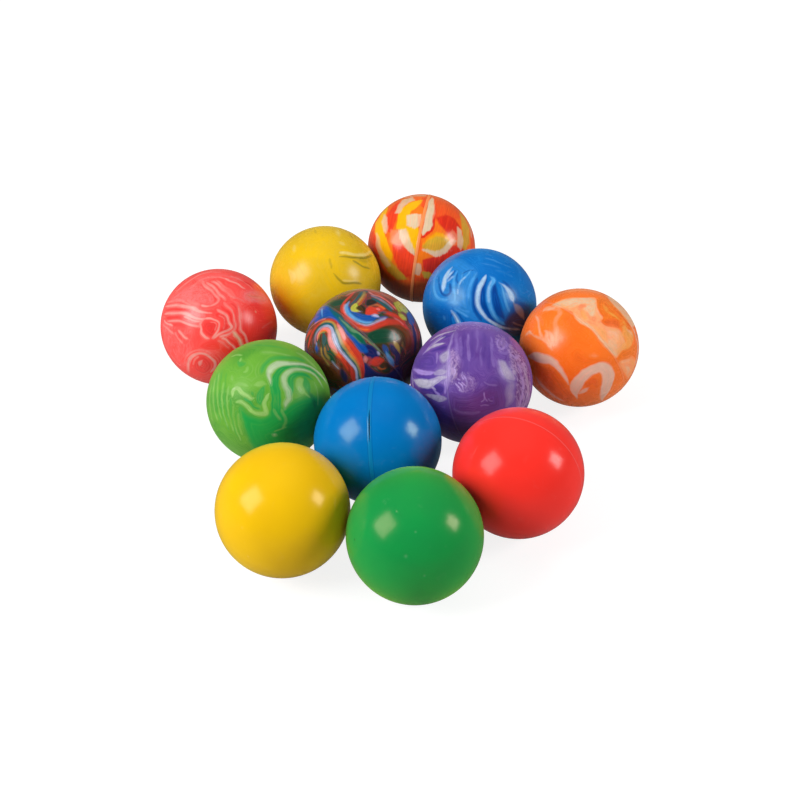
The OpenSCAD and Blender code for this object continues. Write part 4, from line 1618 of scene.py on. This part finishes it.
def purple_marble() -> Ball:
    """Purple, streaked with white on one side of the parting line and crackled with lilac on the other."""
    deep = Pigment("deep", seen(0.3, 0.2, 0.54), [
        Stroke("-58,68 -48,74 -34,77", width=[3, 8, 8]),
        Stroke("-70,50 -58,54 -47,57 -38,60", width=[3, 6, 8, 5]),
        Patch("-92,38 -82,47 -64,48 -58,40 -60,24 -84,23 -93,28", strength=0.7, soft=6),
        Stroke("-94,13 -82,9 -66,9 -58,13", width=[3, 5, 5, 3]),
        Patch("-60,-3 -49,-3 -43,-8 -46,-16 -54,-19 -61,-12"),
        Stroke("-84,-12 -66,-13 -60,-18", width=4),
        Stroke("20,84 22,64 20,34", width=9, strength=0.5, soft=8),
        Stroke("28,62 30,46 28,20", width=8, strength=0.5, soft=8),
        Stroke("-12,84 -13,60 -12,36", width=7, strength=0.4, soft=6),
        Stroke("2,86 2,64 1,40", width=6, strength=0.4, soft=6),
        Stroke("38,72 42,78 50,80 60,72 62,62", width=4, strength=0.5, soft=5),
        Patch("30,8 44,8 50,-8 48,-30 36,-44 20,-40 24,-16", strength=0.45, soft=14),
        Stroke("-8,40 -10,20 -8,8", width=8, strength=0.3, soft=8),
        Stroke("-22,30 -18,22 -20,12", width=3, strength=0.5, soft=3),
        Stroke("-26,54 -24,44", width=3, strength=0.4, soft=3),
    ])
    haze = Pigment("haze", seen(0.68, 0.56, 0.74), [
        Patch("56,62 66,62 80,48 92,26 98,0 96,-30 84,-44 70,-46 70,-20 70,4 62,30", strength=0.75, soft=18),
        Patch("-36,54 -28,58 -20,50 -17,30 -22,6 -30,-4 -38,2 -39,30", strength=0.7, soft=14),
        Patch("-24,8 -14,18 0,14 10,4 8,-10 -4,-18 -18,-16 -25,-6", strength=0.3, soft=10),
        Patch("-44,88 -20,96 10,98 40,92 30,84 0,86 -24,84", strength=0.2, soft=16),
        Patch("38,76 50,78 58,66 54,52 42,52", strength=0.4, soft=10),
        Stroke("60,40 68,20 72,0", width=10, strength=0.5, soft=10),
    ], crackled=0.9, streaky=0.15, dull=0.15)
    lilac = Pigment("lilac", seen(0.64, 0.53, 0.8), [
        Stroke("-80,46 -68,60 -56,71 -46,78", width=2.5, strength=0.8),
        Stroke("-30,82 -34,66 -38,48 -38,30 -39,10 -39,-10", width=[2, 3, 5, 8, 8, 4], strength=0.75,
               soft=5),
        Stroke("-57,50 -56,40 -58,30", width=4, strength=0.7),
        Stroke("-95,22 -82,17 -66,16 -58,18", width=[5, 8, 7, 4]),
        Stroke("-43,2 -42,-8 -44,-18", width=3, strength=0.8),
        Stroke("-66,-6 -60,-14 -52,-20", width=2.5, soft=3),
        Stroke("-78,-8 -68,-9", width=2, strength=0.7, soft=3),
        Stroke("-26,84 -24,62 -20,28", strength=0.35, soft=6),
        Stroke("-18,76 -17,60 -16,44", width=2.5, strength=0.3),
        Stroke("-5,80 -5,62 -3,36", width=3, strength=0.55),
        Stroke("9,88 10,70 9,50", width=3.5, strength=0.25, soft=5),
        Stroke("16,60 15,44 16,26", width=2.5, strength=0.25),
        Stroke("32,76 33,60 34,44 38,26", width=3.5, strength=0.4, soft=5),
        Stroke("44,40 47,26 52,10", width=2, strength=0.45, soft=3),
        Stroke("20,2 30,-4 42,-4", width=2, strength=0.3),
        Stroke("21,-16 22,-24 27,-31", width=1.8, strength=0.6, soft=3),
        Stroke("16,-32 21,-28 22,-22", width=1.8, strength=0.5, soft=3),
        Stroke("27,-25 31,-30 36,-31", width=1.8, strength=0.4, soft=3),
        Stroke("14,-38 22,-36 30,-38", width=2, strength=0.4, soft=3),
        Stroke("47,73 42,66 44,58 52,56 58,62 55,70", width=3, strength=0.55, soft=3),
        Stroke("49,68 51,62", width=3, strength=0.6, soft=3),
        Stroke("46,50 56,48 64,54", width=3, strength=0.4),
        Stroke("34,46 42,32 46,18 54,6", width=3, strength=0.3, soft=5),
        Stroke("62,48 70,42 78,44", width=4, strength=0.5),
        Stroke("76,30 82,10 84,-12 80,-36", width=4, strength=0.5, soft=5),
        Stroke("-30,-44 -10,-50 14,-48", width=4, strength=0.3, soft=6),
    ])
    dusk = Pigment("dusk", seen(0.36, 0.17, 0.42), [
        Patch("-34,-20 -16,-22 6,-18 26,-6 48,-2 54,-20 52,-44 20,-56 -10,-60 -34,-52", strength=0.55,
              soft=20),
        Patch("64,60 80,48 93,28 97,0 94,-34 80,-46 72,-24 74,6 66,34", strength=0.85, soft=12),
        Patch("-30,40 -20,44 -16,24 -22,6 -32,10", strength=0.4, soft=10),
    ])
    # Painted shade: darker on the ball's underside.
    painted_shade_below = Pigment("painted_shade_below", seen(0.12, 0.07, 0.2), [
        Patch("-74,-40 -50,-46 -20,-56 20,-56 50,-50 84,-50 70,-74 30,-98 -30,-98 -74,-64", strength=0.4,
              soft=30),
    ])
    white = Pigment("white", seen(0.77, 0.74, 0.79), [
        Stroke("-68,68 -56,76 -44,81 -34,84 -26,86", width=[2, 4, 5, 4, 2]),
        Stroke("-64,62 -52,71 -42,76", width=[1, 4, 2]),
        Stroke("-76,50 -66,58 -56,62 -42,65", width=[2, 5, 6, 3]),
        Patch("-52,44 -45,50 -37,53 -37,42 -44,34 -50,36", strength=0.6, soft=7),
        Stroke("-60,15 -52,17 -42,18", width=8, strength=0.6),
        Stroke("-96,5 -86,0 -70,-2 -60,2 -50,7 -41,9", width=[9, 14, 14, 10, 8, 6]),
        Stroke("-98,22 -97,6 -95,-8", width=[2, 4, 4]),
        Stroke("-78,-19 -66,-22 -54,-26 -42,-26", width=[3, 7, 12, 9], strength=0.85),
        Stroke("-74,-10 -66,-8 -58,-12", width=3, strength=0.7, soft=3),
        Patch("45,35 55,34 60,24 68,14 70,5 62,4 55,10 50,20", strength=0.6, soft=9),
        Stroke("58,4 66,-2 62,-14 64,-26 58,-38", width=[6, 12, 15, 14, 9], strength=0.35, soft=10),
        Stroke("68,22 72,12", width=4, strength=0.5, soft=5),
        Stroke("86,26 90,8 93,-10 90,-26", width=[5, 8, 8, 5], strength=0.4, soft=7),
    ], mottle=0.15, streaky=0.5, crackled=0.3, dull=0.35)
    scratch = Pigment("scratch", seen(0.72, 0.63, 0.86), [
        Stroke("-26,-2 -20,-8 -15,-15", width=1.3, soft=2.5),
        Stroke("-22,0 -15,-5 -13,-14", width=1.3, soft=2.5),
        Stroke("-12,12 -8,5 -7,-2 -11,-10", width=1.3, soft=2.5),
        Stroke("-4,9 2,3 1,-6 5,-12", width=1.3, strength=0.8, soft=2.5),
        Stroke("-20,-12 -12,-15 -5,-12", width=1.3, soft=2.5),
        Stroke("8,2 3,-5 -3,-4", width=1.3, strength=0.8, soft=2.5),
        Stroke("-14,18 -15,10 -11,4", width=1.3, strength=0.7, soft=2.5),
        Stroke("14,4 10,-2 8,-10", width=1.3, strength=0.6, soft=2.5),
        Stroke("-18,4 -24,6", width=1.3, strength=0.7, soft=2.5),
        Stroke("-6,-6 -10,-4 -16,1", width=1.3, strength=0.8, soft=2.5),
        Stroke("0,-8 -4,-14", width=1.3, strength=0.7, soft=2.5),
        Stroke("-30,12 -26,18 -28,26", width=1.3, strength=0.5, soft=2.5),
        Stroke("62,50 66,42 72,36", width=1.3, strength=0.5, soft=2.5),
    ], streaky=0.2, crackled=0.3)
    rubber = Rubber("purple_marble_rubber", (seen(0.42, 0.3, 0.62), seen(0.36, 0.22, 0.55)),
                    [deep, dusk, painted_shade_below, haze, lilac, white, scratch], vein=seen(0.55, 0.42, 0.75),
                    veins=0.35, rim=(0.7, 0.5, 1.0), roughness=0.25, seed=25.0)
    return Ball("purple_marble_ball", Seam(71.5, -18.5), rubber)


def green_marble() -> Ball:
    """Yellow-green on one side and mid green on the other, with cream bands folded through both."""
    pool = Pigment("pool", seen(0.09, 0.62, 0.28), [
        Patch("-46,-12 -32,-22 -12,-27 0,-22 10,-14 22,-14 34,-6 44,0 60,6 76,8 90,-2 96,-30 70,-66 30,-90 "
              "-6,-88 -26,-72 -38,-46", soft=14),
    ], ragged=4.0, mottle=0.05, streaky=0.15)
    green = Pigment("green", seen(0.12, 0.6, 0.28), [
        Stroke("8,-30 12,-12 13,8 10,26 13,42 22,53 38,57 56,56 74,47 88,34",
               width=[16, 15, 14, 13, 10, 8, 7, 6, 5, 4], soft=3),
        Stroke("-12,44 -8,56 4,68 20,71 40,71 58,66", width=7, strength=0.7, soft=6),
        Stroke("34,4 36,20 36,36 46,44 58,43 70,36", width=[8, 11, 10, 8, 7, 5]),
        Stroke("58,40 62,26 66,12", width=13, strength=0.85, soft=6),
        Stroke("-49,64 -44,60 -38,61", width=12, strength=0.7, soft=7),
        Stroke("-4,26 -10,16 -14,4 -13,-8", width=[4, 9, 12, 9], strength=0.8, soft=5),
        Stroke("-40,5 -30,-2 -24,-10 -12,-14", strength=0.8),
        Stroke("-27,16 -24,8", width=6, strength=0.6),
        Stroke("-44,90 -20,91 8,89 30,84", width=3, strength=0.6),
        Stroke("-90,28 -92,2 -88,-26", width=2, strength=0.5),
        Stroke("-82,46 -85,20 -84,-8 -77,-34", width=2.4, strength=0.55),
        Stroke("-74,50 -78,24 -78,0 -72,-26 -64,-46", width=2.4, strength=0.5),
        Stroke("-68,46 -71,20 -70,-8 -64,-32", width=2.4, strength=0.5),
        Stroke("-61,6 -61,-14 -57,-36 -50,-56", width=2.4, strength=0.5),
        Stroke("-52,-14 -52,-32 -46,-52", width=2, strength=0.4),
    ], mottle=0.1)
    # Painted shade: darker green towards the lower right.
    shade = Pigment("painted_shade_green", seen(0.08, 0.42, 0.24), [
        Patch("20,-40 40,-36 60,-28 72,-12 84,-14 80,-44 50,-72 20,-64", strength=0.35, soft=14),
        Stroke("66,14 74,0 76,-14", width=8, strength=0.6, soft=6),
    ])
    light = Pigment("light", seen(0.56, 0.74, 0.4), [
        Stroke("-58,8 -57,18 -50,22 -42,14 -34,8 -28,4 -23,5", width=[5, 7, 7, 7, 7, 6, 3], soft=3),
        Stroke("-52,-1 -44,-1 -36,-8 -28,-16 -20,-20 -10,-21 -4,-19 -6,-8 -6,-1 -2,7 2,13",
               width=[3, 5, 6, 6, 6, 7, 7, 6, 6, 5, 4], soft=2.5),
        Stroke("-24,26 -14,28 -3,27", width=[4, 9, 5], strength=0.6, soft=5),
        Stroke("44,80 56,73 67,63 77,54", width=6, strength=0.55),
        Patch("45,34 50,38 56,35 55,26 59,14 53,12 48,18 45,26", strength=0.7, soft=5),
        Stroke("72,34 78,20 80,6 80,-8", width=3, strength=0.55, soft=3),
        Stroke("58,14 68,5", width=3, strength=0.5),
        Stroke("8,-14 14,-24 20,-31", width=2.5, strength=0.5),
        Stroke("20,-14 26,-25 28,-34 22,-44", width=4, strength=0.4, soft=3),
        Stroke("8,-50 20,-46 29,-42", width=3, strength=0.5, soft=3),
        Stroke("-12,80 4,79 20,77 36,74", width=6, strength=0.45, soft=5),
        Stroke("-60,72 -52,75 -43,74", width=4, strength=0.7, soft=3),
        Stroke("-45,70 -46,64", strength=0.7, soft=3),
        Stroke("-34,56 -36,49 -40,47", width=3.5, strength=0.5, soft=3),
        Stroke("-60,42 -58,34", strength=0.5),
        Stroke("-56,26 -44,28 -32,24", width=6, strength=0.4, soft=6),
        Stroke("-92,26 -95,2 -92,-24", width=2.2, strength=0.7),
        Stroke("-86,38 -89,12 -87,-12 -82,-30", width=2.6, strength=0.75),
        Stroke("-79,46 -82,22 -81,-4 -76,-28", width=2.4, strength=0.6),
        Stroke("-73,30 -75,6 -73,-18 -66,-42", width=2.4, strength=0.6),
        Stroke("-65,24 -67,0 -64,-24 -56,-50", width=2.6, strength=0.6),
        Stroke("-57,-6 -57,-26 -52,-46 -44,-64", width=2.4, strength=0.55),
        Stroke("-48,-20 -48,-36 -42,-54", width=2.4, strength=0.45),
        Stroke("-70,76 -78,62 -84,46", width=2.4, strength=0.35),
        Stroke("-92,-26 -90,-32", width=7, strength=0.5),
    ])
    cream = Pigment("cream", seen(0.68, 0.76, 0.6), [
        Stroke("5,26 2,36 0,45 5,54 14,60 25,62 42,61 56,60 69,55 81,46 90,36 96,26",
               width=[4, 6, 8, 10, 11, 9, 7, 6, 5, 6, 6, 3], soft=5),
        Stroke("26,-14 29,-4 34,4 33,14 28,24 25,34 28,43 37,50 49,52 61,50 73,44 81,34 88,22",
               width=[3, 7, 9, 10, 8, 8, 9, 7, 6, 5, 4, 3, 2], strength=0.8, soft=5),
        Stroke("7,-54 14,-56", width=[9, 10], strength=0.6),
        # The last two strokes are painted highlights: faint pale spots where the lamps' highlights fall.
        Stroke("50,22 52,16", width=4, strength=0.5, soft=3),
        Stroke("-58,20 -53,22", width=4, strength=0.4, soft=3),
    ], streaky=0.35, dull=0.25)
    rubber = Rubber("green_marble_rubber", (seen(0.41, 0.66, 0.21), seen(0.29, 0.58, 0.18)),
                    [pool, green, shade, light, cream], vein=seen(0.46, 0.68, 0.3), veins=0.5,
                    rim=(0.4, 0.8, 0.2), gloss=(0.6, 0.7, 0.5), roughness=0.38, seed=29.0)
    return Ball("green_marble_ball", Seam(46, -83), rubber)


def plain_balls() -> list[Ball]:
    """The four balls of one colour."""
    blue = Rubber("blue_rubber", (seen(0.0, 0.46, 0.75), seen(0.0, 0.44, 0.73)), gloss=(0.8, 1.0, 0.8),
                  rim=(0.05, 0.5, 1.0), bead=seen(0.05, 0.50, 0.72), bead_share=0.7, seed=41.0)
    red = Rubber("red_rubber", (seen(1.0, 0.20, 0.16), seen(0.99, 0.19, 0.15)), gloss=(1.0, 0.8, 0.8),
                 rim=(1.0, 0.3, 0.3), seed=42.0)
    yellow = Rubber("yellow_rubber", (seen(0.93, 0.735, 0.05), seen(0.92, 0.72, 0.06)), gloss=(1.0, 0.8, 0.5),
                    rim=(1.0, 0.8, 0.1), seed=43.0)
    green = Rubber("green_rubber", (seen(0.05, 0.58, 0.27), seen(0.06, 0.56, 0.27)), gloss=(1.0, 0.7, 0.45),
                   rim=(0.5, 1.0, 0.02), seed=44.0)
    coarse = {"columns": 320, "step": 1.1}
    nicks = [
        Nick((-87, -6), 1.6, 0.1 * MM, 0.8), Nick((1, 5), 2.0), Nick((-13, -30), 3.0), Nick((14, -58), 2.2),
        Nick((-27, 34), 1.6),
    ]
    return [
        Ball("blue_ball", Seam(85, -3.5, 0.12 * MM, 1.4 * MM), blue, slit=Slit(), bead_rows=40),
        Ball("red_ball", Seam(83, -114.5), red, **coarse),
        Ball("yellow_ball", Seam(43, -80), yellow, nicks=[Nick((-60, -26), 2.5, 0.1 * MM, -0.2)], **coarse),
        Ball("green_ball", Seam(41, -92), green, nicks=nicks, **coarse),
    ]


@dataclass(frozen=True)
class SoftBox:
    """A rectangular studio lamp.

    Attributes:
        name: the lamp's name.
        towards: its direction from the middle of the set.
        away: how far off it stands.
        width: its level side.
        height: its other side.
        radiance: how bright its face is, where 1 shows as white.
        mirrored: whether the balls show it as a highlight.
    """

    name: str
    towards: tuple[float, float, float]
    away: float
    width: float
    height: float
    radiance: float
    mirrored: bool = True

    def add(self) -> None:
        """Makes the lamp, facing the middle of the set."""
        data = bpy.data.lights.new(self.name, "AREA")
        data.shape = "RECTANGLE"
        data.size, data.size_y = self.width, self.height
        data.energy = self.radiance * math.pi * self.width * self.height
        lamp = bpy.data.objects.new(self.name, data)
        direction = Vector(self.towards).normalized()
        lamp.location = direction * self.away
        lamp.visible_glossy = self.mirrored
        lamp.rotation_mode = "QUATERNION"
        lamp.rotation_quaternion = direction.to_track_quat("Z", "Y")
        bpy.context.scene.collection.objects.link(lamp)


@dataclass(frozen=True)
class Studio:
    """A plain white table top, two soft boxes, a ceiling and a dim white room.

    Attributes:
        floor_size: each side of the table top.
        floor_colour: how much light it gives back to the balls.
        glow: how bright it shows to the eye, before its share of the lamps' light.
        lit_share: how much of the lamps' light shows on it, and so its shadows.
        mirrored: how bright it is in the balls' gloss.
        room: how bright the room is.
        room_mirrored: how bright the room is in the balls' gloss.
        lamps: the lamps.
    """

    floor_size: float = 6.0
    floor_colour: float = 0.72
    glow: float = 0.85
    lit_share: float = 0.25
    mirrored: float = 0.12
    room: float = 0.1
    room_mirrored: float = 0.04
    lamps: tuple[SoftBox, ...] = (
        SoftBox("left_box", (-0.733, -0.253, 0.631), 1.0, 0.50, 0.54, 11.7),
        SoftBox("right_box", (0.869, -0.111, 0.482), 1.0, 0.29, 0.33, 18.0),
        SoftBox("ceiling", (0.0, 0.25, 1.0), 1.3, 1.4, 1.4, 0.8, False),
    )

    def add(self) -> None:
        """Builds the floor, the lamps and the room's light."""
        for lamp in self.lamps:
            lamp.add()
        self.floor()
        self.world()
        bpy.context.scene.view_settings.view_transform = "Standard"

    def floor(self) -> None:
        """Lays the floor: white to the eye with the shadows kept, dim in gloss, and matt to the rest."""
        half = self.floor_size / 2.0
        data = bpy.data.meshes.new("table_top")
        corners = [(-half, -half, 0), (half, -half, 0), (half, half, 0), (-half, half, 0)]
        data.from_pydata(corners, [], [(0, 1, 2, 3)])
        floor = bpy.data.objects.new("table_top", data)
        bpy.context.scene.collection.objects.link(floor)
        graph = Graph("table_top")
        path = graph.node("ShaderNodeLightPath")
        matt = graph.node("ShaderNodeBsdfDiffuse", {}, {"Color": (*((self.floor_colour,) * 3), 1.0)})
        faint = graph.node("ShaderNodeBsdfDiffuse", {}, {"Color": (*((self.lit_share,) * 3), 1.0)})
        glow = graph.node("ShaderNodeEmission", {}, {"Strength": self.glow})
        sheen = graph.node("ShaderNodeEmission", {}, {"Strength": self.mirrored})
        shown = graph.node("ShaderNodeAddShader", {}, {0: glow.outputs[0], 1: faint.outputs[0]})
        inputs = {0: path.outputs["Is Glossy Ray"], 1: matt.outputs[0], 2: sheen.outputs[0]}
        unseen = graph.node("ShaderNodeMixShader", {}, inputs)
        inputs = {0: path.outputs["Is Camera Ray"], 1: unseen.outputs[0], 2: shown.outputs[0]}
        mixed = graph.node("ShaderNodeMixShader", {}, inputs)
        graph.tree.links.new(mixed.outputs[0], graph.output.inputs[0])
        data.materials.append(graph.material)

    def world(self) -> None:
        """Fills the room with even light, and shows it as white."""
        world = bpy.data.worlds.new("room")
        bpy.context.scene.world = world
        world.use_nodes = True
        tree = world.node_tree
        tree.nodes.clear()
        path = tree.nodes.new("ShaderNodeLightPath")
        output = tree.nodes.new("ShaderNodeOutputWorld")
        last = self.background(tree, self.room)
        for ray, strength in (("Is Glossy Ray", self.room_mirrored), ("Is Camera Ray", 1.0)):
            mixed = tree.nodes.new("ShaderNodeMixShader")
            tree.links.new(path.outputs[ray], mixed.inputs[0])
            tree.links.new(last.outputs[0], mixed.inputs[1])
            tree.links.new(self.background(tree, strength).outputs[0], mixed.inputs[2])
            last = mixed
        tree.links.new(last.outputs[0], output.inputs[0])

    @staticmethod
    def background(tree: bpy.types.NodeTree, strength: float) -> bpy.types.Node:
        """One even white background of a given strength."""
        made = tree.nodes.new("ShaderNodeBackground")
        made.inputs["Color"].default_value = (1.0, 1.0, 1.0, 1.0)
        made.inputs["Strength"].default_value = strength
        return made


def main() -> None:
    """Builds the balls and the studio in order."""
    logging.basicConfig(level=logging.INFO, format="%(message)s")
    marbled = [patchwork, yellow_marble, blue_marble, pink_marble, rainbow, orange_marble, purple_marble,
               green_marble]
    for ball in [*(make() for make in marbled), *plain_balls()]:
        ball.add()
    Studio().add()
    VIEW.add()


if __name__ == "__main__":
    main()
